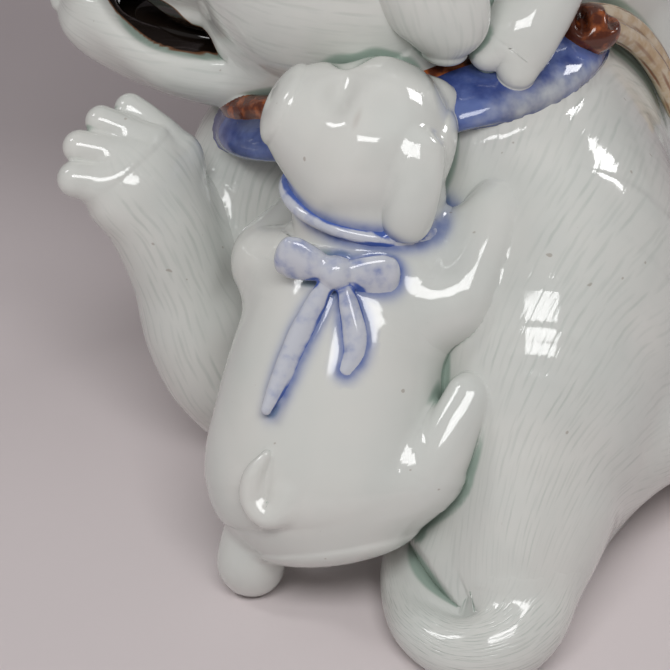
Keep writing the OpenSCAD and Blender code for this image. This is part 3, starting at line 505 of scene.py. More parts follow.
# %% Riding puppy
RIDER = np.array([15, 59, 84.0])
rider_head = PuppyHead(RIDER + [-20, -27, 60], [-0.86, -0.5, -0.05])
rider_toes = [toe([-10.3, -0.5, 99.2], [-3.5, 5, 106], 4.3), toe([-3.8, -3, 96], [1.5, 4, 105], 4.3)]
rider = {
    "body": pup_body(RIDER, [(0, 9, -13, 0.2, 0.3), (0, 4, -7, 0.36, 0.46), (0, 0, 0, 0.4, 0.54),
                             (-2, -8, 18, 0.37, 0.5), (-6, -16, 34, 0.33, 0.44), (-11, -21, 44, 0.26, 0.36),
                             (-15, -24, 51, 0.2, 0.28)], X),
    "right_foreleg": pup_foreleg([RIDER + [-12, -12, 34], RIDER + [-22, -6, 33], [-18, 54, 117],
                                  [-27, 56, 113], [-34, 56, 108], [-37, 55, 105]]),
    "left_foreleg": rounds([RIDER + [-7, -21, 34], RIDER + [-8, -33, 33], RIDER + [-11, -45, 27],
                            [-0.5, 5.5, 105], [-3.6, 3, 101.4]], [7.5, 8.5, 8.2, 7.6, 6.6], X, cap=(6, 4)),
    "right_hind_leg": pup_hind_leg([RIDER + [-8, 6, -3], RIDER + [-16, 12, -7], [-8, 78, 70],
                                    [-11, 83.5, 61], [-12, 86, 55.5], [-12.5, 87.5, 52]]),
    "left_hind_leg": pup_hind_leg([RIDER + [4, -3, -4], RIDER + [9, -5, -10], [27, 50, 66], [29, 46, 60],
                                   [30, 42, 57], [30.5, 39, 55]]),
    "tail": rounds(RIDER + [[1, 13, 2], [1.5, 18.5, 3.5], [2, 22, 7], [2, 23.5, 12], [1.5, 22.5, 17],
                            [1, 20.5, 21]], [2.3, 2.5, 2.55, 2.5, 2, 0.75], X, gap=0.5),
    "ribbon": neck_ribbon(RIDER + [-12.5, -22, 47], [-0.45, -0.35, 0.82], 12.5, 12.24, (2, 2.2))}
print("riding puppy is set out")

# %% [markdown]
# Now each lump becomes a piece of its own, with the spacing of its grid, the depth of its fur and its glaze.
# A piece is a skin that will be found by rays from a guide roll, so a lump needs a short roll in its core.
# Rays start a little outside the roll, further out on thick clay, where a fillet may stand high.

# %% Notes on the pieces
PIECES = {}
STAND_CLAY, STAND_PAINTED = 5, 1.2


def piece(name, form, guide=None, row=0.5, fur=0.0, slot="porcelain", node=None, stand=None, slit=None,
          slant=0):
    """Notes a skin: its clay, the roll that its rays leave from, the spacing of its grid, its fur, its glaze,
    the solid that it belongs to, how far out its rays start, what cuts it last, and the slant of its fur."""
    stand = stand or (STAND_CLAY if slot == "porcelain" else STAND_PAINTED)
    PIECES[name] = {"form": form, "guide": guide or form, "row": row * COARSE, "fur": fur, "slot": slot,
                    "node": node or name, "stand": stand, "slit": slit, "slant": slant}


def core(lump):
    """A short roll through the middle of a lump, half as long as the lump and nearly as thick."""
    half, thick = 0.5 * lump.radii[0] * lump.axes[0], 0.8 * lump.radii[1:]
    ends = [[*(lump.centre + way * half), *thick] for way in (-1, 1)]
    return Roll(ends, lump.axes[1], gap=0.4)


# %% [markdown]
# The body and the head come first. Eyes and nose are lumps that sit in the face, and the tongue and the teeth
# take their places from the jaw.

# %% Pieces of the body and the head
piece("mother_torso", torso, torso_roll, row=1.0, fur=0.8, stand=7, slant=1.3)
head_guide = rounds([on_head(-24, 0, 0), on_head(0, 0, 0), on_head(15, 0, 0), on_head(30, 0, 0),
                     on_head(45, 0, -1), on_head(60, 0, -1)], [20, 28, 25, 18, 14, 11], CHEEK_WAY)
piece("mother_head", face, head_guide, fur=0.75, slit=below_slit)
piece("mother_neck", neck, row=0.9, fur=0.8, node="mother_head", stand=7)
piece("mother_lower_jaw", jaw, jaw_roll, row=0.45, fur=0.6, slit=above_slit)
tongue = Roll([[*on_head(s * JAW_L, 0, FLOOR - 3 + lift), wide, deep] for s, lift, wide, deep in
               [(0.3, -1, 6, 2.5), (0.5, 0, 7.5, 2.5), (0.7, 0, 6.3, 2.3), (0.79, -0.5, 3, 1.5)]], CHEEK_WAY)
piece("mother_tongue", tongue, row=0.45, stand=1)
TEETH, TEETH_R = 6, 7
for number, turn in enumerate(np.radians(np.linspace(-75, 75, TEETH))):
    foot = on_head(0.8 * JAW_L + TEETH_R * np.cos(turn), TEETH_R * np.sin(turn), FLOOR)
    tooth = rounds([foot - 2 * Z, foot, foot + 2 * Z], [1.6, 1.5, 1.0], X, gap=0.4)
    piece(f"mother_tooth_{number}", tooth, row=0.25, node="mother_lower_teeth", stand=1)
for number, spot in enumerate(eye_spots):
    eye = Lump(spot, (4, 4, 4))
    piece(f"mother_eye_{number}", eye, core(eye), row=0.35, slot="iron_brown_glaze", node="mother_eyes")
nose = nose_lump = Lump(on_head(0.95 * MUZZLE_L, 0, 4.2), (4.8, 6, 4.3), HEAD_AXES)
for side in (-1, 1):
    nose = nose.cut(Lump(on_head(MUZZLE_L + 1.2, side * 3, 3.6), (3, 1.2, 1.1), HEAD_AXES), 0.8)
piece("mother_nose", nose, core(nose_lump), row=0.35, slot="iron_brown_glaze")
print(len(PIECES), "pieces noted so far")

# %% [markdown]
# Then come the ears, the limbs with their toes, and the collar.

# %% Pieces of the limbs and the collar
piece("mother_left_ear", hanging_ear(1), row=0.6, fur=0.7)
piece("mother_right_ear", hanging_ear(-1), row=0.6, fur=0.7)
piece("mother_raised_upper_arm", upper_arm, row=0.7, fur=1.0, stand=8)
piece("mother_raised_forearm", forearm, forearm_roll, fur=1.0)
for number, form in enumerate(raised_toes):
    piece(f"mother_raised_toe_{number}", form, row=0.3, stand=2, node="mother_raised_forearm")
piece("mother_right_foreleg", right_foreleg, right_foreleg_roll, row=0.6, fur=1.0)
piece("mother_left_hind_leg", left_hind_roll, row=0.7, fur=1.0)
piece("mother_right_hind_leg", right_hind, right_hind_roll, row=0.7, fur=1.0)
piece("mother_tail", tail, row=0.6, fur=1.3)
piece("collar_bib", bib, row=0.6, slot="cobalt_glaze", stand=4)
piece("collar_band", band, slot="iron_brown_glaze")
piece("collar_knot", knot, core(knot_lump), row=0.35, slot="iron_brown_glaze")
piece("collar_inner_cord", cord(0), row=0.4, slot="tan_glaze")
piece("collar_outer_cord", cord(CORD_GAP), row=0.4, slot="tan_glaze")
print(len(PIECES), "pieces noted so far")

# %% [markdown]
# The puppies have the same parts, so one loop notes them. The climber's right ear, on the side towards her,
# is shorter than its left one, and its bow is noted last.

# %% Pieces of the puppies
short_ear = PUP_EAR_ROWS[:2] + [(-9.2, 14.4, 5, 4.2, 3.4), (-9.5, 14.6, 3.4, 2, 1.8)]
for pup, head, right_ear, parts in (("climber", climber_head, short_ear, climber),
                                    ("rider", rider_head, PUP_EAR_ROWS, rider)):
    piece(f"{pup}_head", head.clay(), head.roll, row=0.4)
    piece(f"{pup}_left_ear", head.ear(1), row=0.4, stand=3)
    piece(f"{pup}_right_ear", head.ear(-1, right_ear), row=0.4, stand=3)
    for part, form in parts.items():
        piece(f"{pup}_{part}", form, slot="cobalt_glaze" if part == "ribbon" else "porcelain",
              stand=0.9 if part == "tail" else None)
for number, form in enumerate(rider_toes):
    piece(f"rider_left_toe_{number}", form, row=0.3, stand=2, node="rider_left_foreleg")
bow_lump = Lump(BOW_AT, (3.5, 3.15, 3.5))
piece("climber_bow_knot", bow_lump, core(bow_lump), row=0.3, slot="cobalt_glaze")
left_strip = [[0.2, 6.6, 40.5], [-4.4, 2.6, 33], [-8.6, -2.6, 25], [-11.4, -6.4, 20]]
right_strip = [[4, 5.8, 40], [5.7, 1.1, 34], [5.7, -1.6, 30.5], [4.2, -3.6, 27.6]]
for part, form in (("left_loop", bow_loop(-1)), ("right_loop", bow_loop(1)),
                   ("left_tail", bow_tail(left_strip)), ("right_tail", bow_tail(right_strip))):
    piece(f"climber_bow_{part}", form, row=0.3, slot="cobalt_glaze")
print(len(PIECES), "pieces noted in all")

# %% [markdown]
# Pieces that touch run into each other with a fillet, wide where one clay was worked into the other and
# narrow where a ribbon or a paw only lies on top. A fillet that fades along a roll keeps an ear or a tail tip
# free while its root melts into the body.

# %% Joints
def fading(root, reach, near, far):
    """A fillet of size near at the root that fades to far over the reach."""
    root = np.asarray(root, float)
    return lambda p: far + (near - far) * np.exp(-(np.linalg.norm(p - root, axis=1) / reach) ** 2)


JOINTS = {}


def joints(name, **sizes):
    """Notes the fillets of one piece with several others."""
    JOINTS.update({frozenset((name, other)): size for other, size in sizes.items()})


joints("mother_head", mother_lower_jaw=8.0, mother_neck=10.0, mother_torso=9.0)
joints("mother_torso", mother_neck=12.0, mother_lower_jaw=1.5, collar_bib=7.0,
       mother_tail=fading([0, -46, 22], 20, 10, 1.2))
joints("mother_raised_upper_arm", mother_torso=9.0, mother_left_hind_leg=1.5, mother_lower_jaw=1.0,
       mother_head=1.0, collar_bib=3.0)
joints("mother_tail", mother_left_hind_leg=1.2)
joints("climber_body", climber_left_hind_leg=2.0, climber_tail=fading(CLIMBER + [-7.8, -14, 3], 5, 3.5, 1.0),
       climber_right_hind_leg=fading([-24, -47, 33], 11, 9, 1.5))
for paw, limb, count in (("mother_raised", "forearm", 4), ("rider_left", "foreleg", 2)):
    for number in range(count):
        joints(f"{paw}_toe_{number}", **{f"{paw}_toe_{other}": 1.0 for other in range(number)},
               **{f"{paw}_{limb}": 2.5})
teeth = [f"tooth_{number}" for number in range(TEETH)]
for small in ("nose", "eye_0", "eye_1", "tongue", *teeth):
    joints(f"mother_{small}", **{f"mother_{other}": 0.7 for other in ("head", "lower_jaw", "tongue", *teeth)})
for side, way in ((1, "left"), (-1, "right")):
    joints(f"mother_{way}_ear", mother_head=fading(on_head(-16, side * 15, 25), 14, 8, 1.0))
    for pup, head in (("climber", climber_head), ("rider", rider_head)):
        root = head.spot(-8, side * 11, 10)
        joints(f"{pup}_{way}_ear", **{f"{pup}_head": fading(root, 7, 7, 0.8), f"{pup}_body": 0.8})
ANIMALS = {"mother": 6.0, "climber": 6.0, "rider": 5.0}
LAID_ON = 0.9


def fillet(a, b):
    """The fillet between two pieces: a noted one, a narrow one for what is laid on, or that of the animal."""
    kin, other_kin = a.split("_")[0], b.split("_")[0]
    laid = kin != other_kin or any(word in a + b for word in ("ribbon", "bow", "collar"))
    return JOINTS.get(frozenset((a, b)), LAID_ON if laid else ANIMALS[kin])


print(len(JOINTS), "fillets noted")

# %% [markdown]
# A skin is a grid of rays. Rays leave the curve of a roll in every direction, row by row and round by round,
# and fan out over its two ends. Each starts outside and walks inwards by the field until the field is nought.
# That gives a closed surface of two parameters, with fillets, toes and creases, and no loop over points.

# %% Rays
def arc_of(points):
    """The way along the points from the first one to each."""
    return np.append(0, np.cumsum(np.linalg.norm(np.diff(points, axis=0), axis=1)))


def rays(guide, row):
    """Origins and arms of the rays: at each row of the guide the oval of its section, and at the ends the
    same oval tilted, from square to the curve to along it."""
    arc = arc_of(guide.centre)
    count = max(4, int(np.ceil(arc[-1] / row)))
    at = np.linspace(0, arc[-1], count + 1)[:-1 if guide.closed else None]

    def taken(a):
        """The guide's value at each row."""
        return np.stack([np.interp(at, arc, a[:, i]) for i in range(a.shape[1])], 1)

    around = max(12, int(2 * np.pi * guide.radii.max(axis=0).mean() / row))
    turn = 2 * np.pi * np.arange(around) / around
    caps = 0 if guide.closed else max(4, int(1.5 * guide.cap.max() / row))
    tilt = np.linspace(0, np.pi / 2, caps + 1)[1:]
    tilt = np.concatenate([-tilt[::-1], np.zeros(len(at)), tilt])
    rows = np.concatenate([np.zeros(caps, int), np.arange(len(at)), np.full(caps, len(at) - 1)])
    centre, radii = taken(guide.centre)[rows], taken(guide.radii)[rows]
    along, across, up = (unit(taken(a))[rows] for a in (guide.along, guide.across, guide.up))
    cap = np.where(tilt < 0, guide.cap[0], guide.cap[1])
    ring = ((radii[:, :1] * np.cos(turn))[..., None] * across[:, None]
            + (radii[:, 1:] * np.sin(turn))[..., None] * up[:, None])
    arm = np.cos(tilt)[:, None, None] * ring + (np.sin(tilt) * cap)[:, None, None] * along[:, None]
    length = arc_of((centre[:, None] + arm).mean(1))
    return np.broadcast_to(centre[:, None], arm.shape), arm, length


print("rays of the torso, rows and round:", rays(torso_roll, COARSE)[1].shape[:2])

# %% [markdown]
# All rays of a piece walk at once. The field says how far each may go, and a fillet makes it arrive sooner.

# %% Walk
REACH = 9
STEPS, SHARE, ARRIVED = 28, 0.8, 0.02
SINK, BEND = 0.06, 0.4
SLIT_EDGE = 1.6


def within(p, form, margin):
    """The numbers of the points that lie in a form's box or at most the margin outside it."""
    return np.all((p > form.low - margin) & (p < form.high + margin), axis=1).nonzero()[0]


def walk(note, origin, way, start, meets):
    """Walks every ray inwards from its start by four fifths of the field. A fillet of size k lowers the field
    by (k + d)^2 / 4k, where d is how much nearer the other piece is, and past the crossing the skin sinks
    slowly under the other one. The largest fillet counts. Rays that have arrived stay."""
    far, going = start.copy(), np.arange(len(start))
    for _ in range(STEPS):
        p = origin[going] + way[going] * far[going, None]
        own = note["form"].field(p)
        hump = np.zeros(len(p))
        for other, k in meets:
            near = within(p, other, REACH)
            if len(near):
                size = k(p[near]) if callable(k) else k
                d = np.clip(own[near] - other.field(p[near]), -size, size)
                past = np.maximum(d, 0)
                rise = (size + d) ** 2 / (4 * size) - SINK * past - BEND * past ** 2 / size
                hump[near] = np.maximum(hump[near], rise)
        left = own - hump
        if note["slit"]:
            left = -soft_min(-left, note["slit"].field(p), SLIT_EDGE)
        far[going] = np.clip(far[going] - SHARE * left, ARRIVED, start[going])
        going = going[(np.abs(left) > ARRIVED) & (far[going] > ARRIVED)]
        if not len(going):
            break
    return origin + way * far[:, None]


print("a ray walks in at most", STEPS, "steps, to within", ARRIVED, "mm")

# %% [markdown]
# The glaze needs to know the shape it lies on: how deep in a crease a point lies, how near to blue paint, and
# how far inside the mouth. That is measured with the same fields and kept beside the points. The mouth's
# paint and its painted shade follow the lips, so they are worked out in the head's own axes.

# %% Paint and painted shade in the mouth
MOUTH_AHEAD, PALATE_HALF, JAW_HALF = [20, 30, 37, 46, 55], [17, 15, 13, 12, 9], [14, 14.5, 14, 11, 4.5]
LIP_AHEAD, LIP_UP = [22, 33, 37.5, 46, 55], [-23.5, -24, -22, -18.5, -17]
MOUTH_BACK, MOUTH_FRONT = 19, 56


def mouth_paint_and_shade(name, p, slit):
    """Brown paint at the lips and painted shade further in: inside the lips' line and above the jaw's floor,
    or on the palate.
    """
    ahead, aside, up = ((p - HEAD_AT) @ HEAD_AXES.T).T
    palate = name == "mother_head"
    half = np.interp(ahead, MOUTH_AHEAD, PALATE_HALF if palate else JAW_HALF)
    lip_up = np.interp(ahead, LIP_AHEAD, LIP_UP)
    hollow = slit.field(p) - 3.5 if palate else np.minimum(lip_up - 3 - up, mouth_trough.field(p))
    paint = np.clip((half - np.abs(aside)) / 1.4, 0, 1) * np.clip(1.5 - hollow, 0, 1) * (ahead > MOUTH_BACK)
    return paint * np.clip((MOUTH_FRONT - ahead) / 5, 0, 1)


# %% [markdown]
# To find a crease, the skin is probed: a point a little way in front of it has clay nearby only in a crease.
# Blue fades with the distance to a ribbon, and fur stops short of a joint. A faint brown streak lies at the
# left eye hollow of each puppy.

# %% Skins
PROBE, CLOSE, FAR = 2.0, 3, 9.0
BLUE_BLUR, FUR_CLEAR = 1.8, 5
STREAK_AT, STREAK_W, STREAK_H, STREAK_DEPTH = (7, 11.5, 11.8), 0.9, 1.8, 0.1


def normals(grid, closed):
    """Cross product of the step round a row and the step to the next row."""
    around = np.roll(grid, -1, 1) - np.roll(grid, 1, 1)
    ahead = np.roll(grid, -1, 0) - np.roll(grid, 1, 0) if closed else np.gradient(grid, axis=0)
    n = np.cross(around, ahead)
    return n / np.maximum(np.linalg.norm(n, axis=-1, keepdims=True), 1e-9)


def skin(name):
    """The grid of a piece, the way along it, and the layers of its glaze."""
    note = PIECES[name]
    origin, arm, length = rays(note["guide"], note["row"])
    shape = arm.shape[:2]
    origin, arm = origin.reshape(-1, 3), arm.reshape(-1, 3)
    start = np.linalg.norm(arm, axis=1)
    way = arm / np.maximum(start, 1e-6)[:, None]
    start = start + note["stand"]
    tips = origin + way * start[:, None]
    low, high = tips.min(0) - REACH, tips.max(0) + REACH
    meets = [(found["form"], fillet(name, other), other) for other, found in PIECES.items()
             if other != name and np.all((found["form"].low < high) & (found["form"].high > low))]
    p = walk(note, origin, way, start, [m[:2] for m in meets])
    p[:, 2] = np.maximum(p[:, 2], 0)
    grid = p.reshape(*shape, 3)
    front = (grid + PROBE * normals(grid, note["guide"].closed)).reshape(-1, 3)
    open_way = note["form"].field(front)
    blue, joint = np.full(len(p), FAR), np.full(len(p), FAR)
    for form, _, other in meets:
        near = within(front, form, CLOSE)
        open_way[near] = np.minimum(open_way[near], form.field(front[near]))
        joint[near] = np.minimum(joint[near], form.field(p[near]))
        if "ribbon" in other or "bow" in other:
            blue[near] = np.minimum(blue[near], form.field(p[near]))
    # The crease layer stands both for glaze pooled in creases and for painted crease shade.
    layers = {"pool_and_shade": np.clip(1 - open_way / PROBE, 0, 1),
              "blue": np.exp(-(np.maximum(blue, 0) / BLUE_BLUR) ** 2),
              "deep": np.zeros(len(p)), "fur": note["fur"] * np.clip(joint / FUR_CLEAR, 0, 1)}
    if note["slit"]:
        layers["deep"] = mouth_paint_and_shade(name, p, note["slit"])
    # The tongue lies in the mouth's shade, so it is painted wholly dark as painted shade.
    if name == "mother_tongue":
        layers["deep"] += 1.0
    if name in ("climber_head", "rider_head"):
        pup = climber_head if name == "climber_head" else rider_head
        ahead, _, up = ((p - pup.spot(*STREAK_AT)) @ pup.axes.T).T
        layers["deep"] = STREAK_DEPTH * np.exp(-(ahead / STREAK_W) ** 2 - (up / STREAK_H) ** 2)
    if name == "collar_bib":
        arm = p - BIB_AT
        layers["rim"] = np.hypot(arm @ BIB_ACROSS / BIB_WIDE, arm @ BIB_ALONG / BIB_DEEP)
    return grid, length, layers, note["guide"].closed, note["slant"]


# %% [markdown]
# A grid becomes a mesh with its first and last rows drawn together to one point, or with both ends joined
# when the roll is a ring. The map of the surface keeps millimetres round and along the roll, so that fur
# strokes have their true size and follow the limb, or slant across it.

# %% Shells
def shell(grid, length, layers, closed, slant):
    """Points row by row, four-sided faces between rows, three-sided ones at the two ends, and the map."""
    rows, around = grid.shape[:2]
    k = np.arange(around)
    after = (k + 1) % around
    index = np.arange(rows * around).reshape(rows, around)
    keep = np.arange(rows * around)
    v = length
    if closed:
        below, above = index, np.roll(index, -1, 0)
        v = np.append(length, 2 * length[-1] - length[-2])
        fan = np.zeros((0, 3), int)
    else:
        index = index - around + 1
        index[0], index[-1] = 0, (rows - 2) * around + 1
        keep = np.r_[0, around:(rows - 1) * around, (rows - 1) * around]
        below, above = index[1:-2], index[2:-1]
        fan = np.vstack([np.stack([index[0], index[1][after], index[1]], 1),
                         np.stack([index[-2], index[-2][after], index[-1]], 1)])
        v = v[1:-1]
    quads = np.stack([below, below[:, after], above[:, after], above], -1).reshape(-1, 4)
    girth = np.linalg.norm(np.diff(grid, axis=1), axis=-1).sum(1)
    u = np.append(k, around) / around * np.percentile(girth, 80)
    quad_u = np.broadcast_to(np.stack([u[:-1], u[1:], u[1:], u[:-1]], -1), (*below.shape, 4))
    quad_v = np.broadcast_to(np.stack([v[:-1], v[:-1], v[1:], v[1:]], -1)[:, None], (*below.shape, 4))
    uv = np.stack([quad_u, quad_v], -1).reshape(-1, 2)
    if not closed:
        middle = (u[:-1] + u[1:]) / 2
        first = np.stack([np.stack([middle, u[1:], u[:-1]], -1),
                          np.broadcast_to([length[0], length[1], length[1]], (around, 3))], -1)
        last = np.stack([np.stack([u[:-1], u[1:], middle], -1),
                         np.broadcast_to([length[-2], length[-2], length[-1]], (around, 3))], -1)
        uv = np.vstack([uv, first.reshape(-1, 2), last.reshape(-1, 2)])
    uv = uv @ np.array([[1, slant], [-slant, 1]]) / np.hypot(1, slant)
    return {"co": grid.reshape(-1, 3)[keep], "quads": quads, "fan": fan, "uv": uv,
            "layers": {layer: values[keep] for layer, values in layers.items()}}


# %% [markdown]
# Several shells can share one mesh, as a paw does with its toes. The arrays go into the mesh whole, which is
# far quicker than adding one point after another.

# %% Meshes
def mesh_of(name, shells):
    """One mesh from one shell or several, with the map and the layers of the glaze."""
    mesh = bpy.data.meshes.new(name)
    first = np.cumsum([0] + [len(part["co"]) for part in shells])
    corners = np.concatenate([np.concatenate([part["quads"].ravel(), part["fan"].ravel()]) + start
                              for part, start in zip(shells, first)])
    sides = np.concatenate([np.repeat([4, 3], [len(part["quads"]), len(part["fan"])]) for part in shells])
    mesh.vertices.add(first[-1])
    co = np.concatenate([part["co"] for part in shells]) * MM
    mesh.vertices.foreach_set("co", co.astype(np.float32).ravel())
    mesh.loops.add(len(corners))
    mesh.loops.foreach_set("vertex_index", corners.astype(np.int32))
    mesh.polygons.add(len(sides))
    mesh.polygons.foreach_set("loop_start", (np.cumsum(sides) - sides).astype(np.int32))
    mesh.polygons.foreach_set("use_smooth", np.ones(len(sides), bool))
    mesh.update(calc_edges=True)
    for layer in shells[0]["layers"]:
        values = np.concatenate([part["layers"][layer] for part in shells])
        mesh.attributes.new(layer, "FLOAT", "POINT").data.foreach_set("value", values.astype(np.float32))
    uv = np.concatenate([part["uv"] for part in shells])
    mesh.uv_layers.new(name="strokes").data.foreach_set("uv", uv.astype(np.float32).ravel())
    return mesh


# %% [markdown]
# Each solid of the frame gets its skin, rides on the one body there is, and takes the solid's place.

# %% Making the pieces
made = {}
for node in dict.fromkeys(note["node"] for note in PIECES.values()):
    names = [name for name, note in PIECES.items() if note["node"] == node]
    thing = bpy.data.objects.new("glazed_" + node, mesh_of(node, [shell(*skin(name)) for name in names]))
    bpy.context.scene.collection.objects.link(thing)
    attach(thing, "root")
    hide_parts(node)
    made[node] = thing
print("pieces made:", len(made), "faces:", sum(len(thing.data.polygons) for thing in made.values()))

# %% [markdown]
# A glaze is a sum of small effects, so its shader is written as sums. A wire is one output of the graph;
# adding or multiplying wires adds the Math nodes, and one method adds every other kind of node.

# %% Wires
def operation(kind, turned=False):
    """A method of wires that adds a Math node of this kind; turned puts the other value first."""
    def method(self, other=0.0):
        """The wire and the other value, joined by the node."""
        first, second = (other, self) if turned else (self, other)
        return self.graph.add("ShaderNodeMath", {"operation": kind}, {0: first, 1: second})
    return method


class Wire:
    """One output of a shader graph. Sums of wires and numbers become Math nodes."""

    def __init__(self, graph, socket):
        self.graph, self.socket = graph, socket

    __add__ = __radd__ = operation("ADD")
    __mul__ = __rmul__ = operation("MULTIPLY")
    __sub__, __rsub__ = operation("SUBTRACT"), operation("SUBTRACT", turned=True)
    __truediv__, __rtruediv__ = operation("DIVIDE"), operation("DIVIDE", turned=True)
    __abs__, floor, fract = operation("ABSOLUTE"), operation("FLOOR"), operation("FRACT")

    def rise(self, low, high):
        """Nought below low, one above high, a soft step between."""
        return self.graph.add("ShaderNodeMapRange", {"interpolation_type": "SMOOTHSTEP"},
                              {"Value": self, "From Min": low, "From Max": high})


# %% [markdown]
# A graph holds one material. It knows the few things that all the glazes need: soft noise, the layers
# measured on the skin, a mix of two colours, and strokes of fur along the map.

# %% Graphs
class Graph:
    """A material and its graph."""

    def __init__(self, name):
        self.material = bpy.data.materials.new(name)
        self.material.use_nodes = True
        self.tree = self.material.node_tree
        self.shader = self.tree.nodes["Principled BSDF"]

    def add(self, kind, settings=None, inputs=None, output=0):
        """Any node: its type, its settings, the values or wires of its sockets, and the output wanted."""
        node = self.tree.nodes.new(kind)
        for key, value in (settings or {}).items():
            setattr(node, key, value)
        for key, value in (inputs or {}).items():
            self.join(node.inputs[key], value)
        return Wire(self, node.outputs[output])

    def join(self, socket, value):
        """Links a wire to a socket, or sets a plain value on it."""
        if isinstance(value, Wire):
            self.tree.links.new(value.socket, socket)
        else:
            socket.default_value = value

    def layer(self, name):
        """One of the values that were measured on the skin."""
        return self.add("ShaderNodeAttribute", {"attribute_name": name}, output="Fac")

    def noise(self, size, detail=2.0):
        """Soft noise in the object's own space, with blots of a size in millimetres."""
        place = self.add("ShaderNodeTexCoord", output="Object")
        return self.add("ShaderNodeTexNoise",
                        inputs={"Vector": place, "Scale": 1 / (size * MM), "Detail": detail})

    def mix(self, share, a, b):
        """Colour a where the share is nought, b where it is one."""
        return self.add("ShaderNodeMix", {"data_type": "RGBA"}, {0: share, 6: a, 7: b}, output=2)

    def strokes(self, width, length, seed, wander=2.0):
        """Short tapered lines along the roll: the map is cut in columns, each column in cells that start at
        its own height, and each cell holds one slightly slanting line."""
        uv = self.add("ShaderNodeUVMap", {"uv_map": "strokes"})
        u, v = (self.add("ShaderNodeSeparateXYZ", inputs={0: uv}, output=i) for i in (0, 1))
        across = (u + wander * (self.noise(14) - 0.5)) / width + seed
        column = across.floor()
        chance = self.add("ShaderNodeTexWhiteNoise", {"noise_dimensions": "1D"}, {"W": column})
        ahead = v / length + 7 * chance
        cell = self.add("ShaderNodeCombineXYZ", inputs={0: column, 1: ahead.floor(), 2: float(seed)})
        chance = self.add("ShaderNodeTexWhiteNoise", {"noise_dimensions": "3D"}, {"Vector": cell})
        part = ahead.fract()
        aside = abs(across.fract() - 0.5 + (chance - 0.5) * (0.25 + 0.5 * part))
        taper = (4 * part * (1 - part)).rise(0.0, 0.9)
        return taper * (1 - (aside / (0.08 + 0.14 * taper)).rise(0.2, 1.0)) * chance.rise(0.1, 0.55)

    def done(self, relief=None, depth=0.1, **values):
        """Joins the values to the shader, and the relief as a bump of that depth in millimetres."""
        if relief is not None:
            values["Normal"] = self.add("ShaderNodeBump", inputs={"Strength": 1.0, "Distance": depth * MM,
                                                                 "Height": relief})
        for key, value in values.items():
            self.join(self.shader.inputs[key.replace("_", " ")], value)
        return self.material

    def glaze(self, relief, depth, colour, roughness):
        """A glassy glaze: relief, colour and roughness vary, and the thin hard coat is even."""
        return self.done(relief, depth, Base_Color=colour, Roughness=roughness, IOR=1.5, Coat_Weight=0.25,
                         Coat_Roughness=0.03)


# %% [markdown]
# The white glaze is clear and faintly green. It runs off the edges and gathers in creases, where it is deep
# enough to show its colour, and the creases are also darkened as painted shade. It gathers in the fine lines
# that were cut in the clay for fur. Near the painted ribbons it carries a little of their blue.

# %% White glaze
CLAY_COOL, CLAY_WARM = (0.64, 0.66, 0.63, 1), (0.70, 0.70, 0.665, 1)
# Green of the glaze in fur lines, and green of glaze pooled in creases, darkened further as painted crease
# shade.
GREEN_LINE, GREEN_POOL_AND_SHADE = (0.28, 0.35, 0.31, 1), (0.27, 0.37, 0.31, 1)
BLUE_TINGE, BROWN_SPECK = (0.07, 0.13, 0.40, 1), (0.20, 0.12, 0.07, 1)
# Brown paint of the lips, and painted shade for the inside of the mouth.
MOUTH_BROWN, MOUTH_SHADE = (0.22, 0.11, 0.06, 1), (0.012, 0.008, 0.006, 1)


def white_glaze(name, fur=None):
    """Clear glaze on white clay: green where it pools, with painted crease shade, strokes of fur, brown paint
    at the lips and painted shade inside the mouth, a few specks. Fur is given by the spacing and the length
    of its strokes."""
    g = Graph(name)
    cloud, speck = g.noise(26, 3), g.noise(1.6, 0)
    colour = g.mix(cloud.rise(0.3, 0.75), CLAY_COOL, CLAY_WARM)
    relief = 0.25 * g.noise(9, 2)
    if fur:
        lines = g.strokes(*fur, 3) + 0.6 * g.strokes(0.8 * fur[0], 0.7 * fur[1], 11)
        lines = lines * g.layer("fur")
        colour = g.mix(lines * 0.2, colour, GREEN_LINE)
        relief = relief - lines
    pool_and_shade = g.layer("pool_and_shade")
    # Green glaze pooled in creases, darkened further as painted crease shade.
    colour = g.mix(pool_and_shade.rise(0.45, 1.0) * 0.8, colour, GREEN_POOL_AND_SHADE)
    colour = g.mix(g.layer("blue") * (0.5 + 0.6 * g.noise(3)), colour, BLUE_TINGE)
    deep = g.layer("deep")
    # Brown paint at the lips and on the puppies' streak; deeper in the mouth, painted shade.
    colour = g.mix(deep.rise(0.02, 0.3), colour, MOUTH_BROWN)
    colour = g.mix(deep.rise(0.25, 0.7), colour, MOUTH_SHADE)
    colour = g.mix(speck.rise(0.86, 0.9) * 0.4, colour, BROWN_SPECK)
    return g.glaze(relief, 0.03, colour, 0.06 + 0.05 * cloud)


# %% [markdown]
# Cobalt is painted on before the clear glaze and blurs in the fire. On the ribbons it has run off the crests,
# which stay pale, and on the bib it lies in blots that fade towards the rolled edge.

# %% Blue glazes
RIBBON_CREST, RIBBON_BLUE = (0.58, 0.60, 0.66, 1), (0.07, 0.13, 0.42, 1)
# The two cobalt blues of the bib's blots are kept dark, partly as painted shade from the head above.
BIB_DARK, BIB_LIGHT, BIB_EDGE = (0.035, 0.06, 0.22, 1), (0.12, 0.17, 0.40, 1), (0.64, 0.66, 0.64, 1)
# Painted shade by the neck under the head, and creases darkened as pooled cobalt and painted shade.
BIB_NECK_SHADE, BIB_POOL_AND_SHADE = (0.012, 0.018, 0.06, 1), (0.05, 0.07, 0.16, 1)


def ribbon_glaze():
    """Pale on the crests and blue where the glaze pools, with a border that noise moves about."""
    g = Graph("cobalt_ribbon")
    edge = g.layer("pool_and_shade") + 0.7 * (g.noise(3.5, 3) - 0.42)
    colour = g.mix(edge.rise(0.0, 0.4), RIBBON_CREST, RIBBON_BLUE)
    return g.glaze(0.3 * g.noise(4), 0.1, colour, 0.06 + 0.04 * g.noise(8))


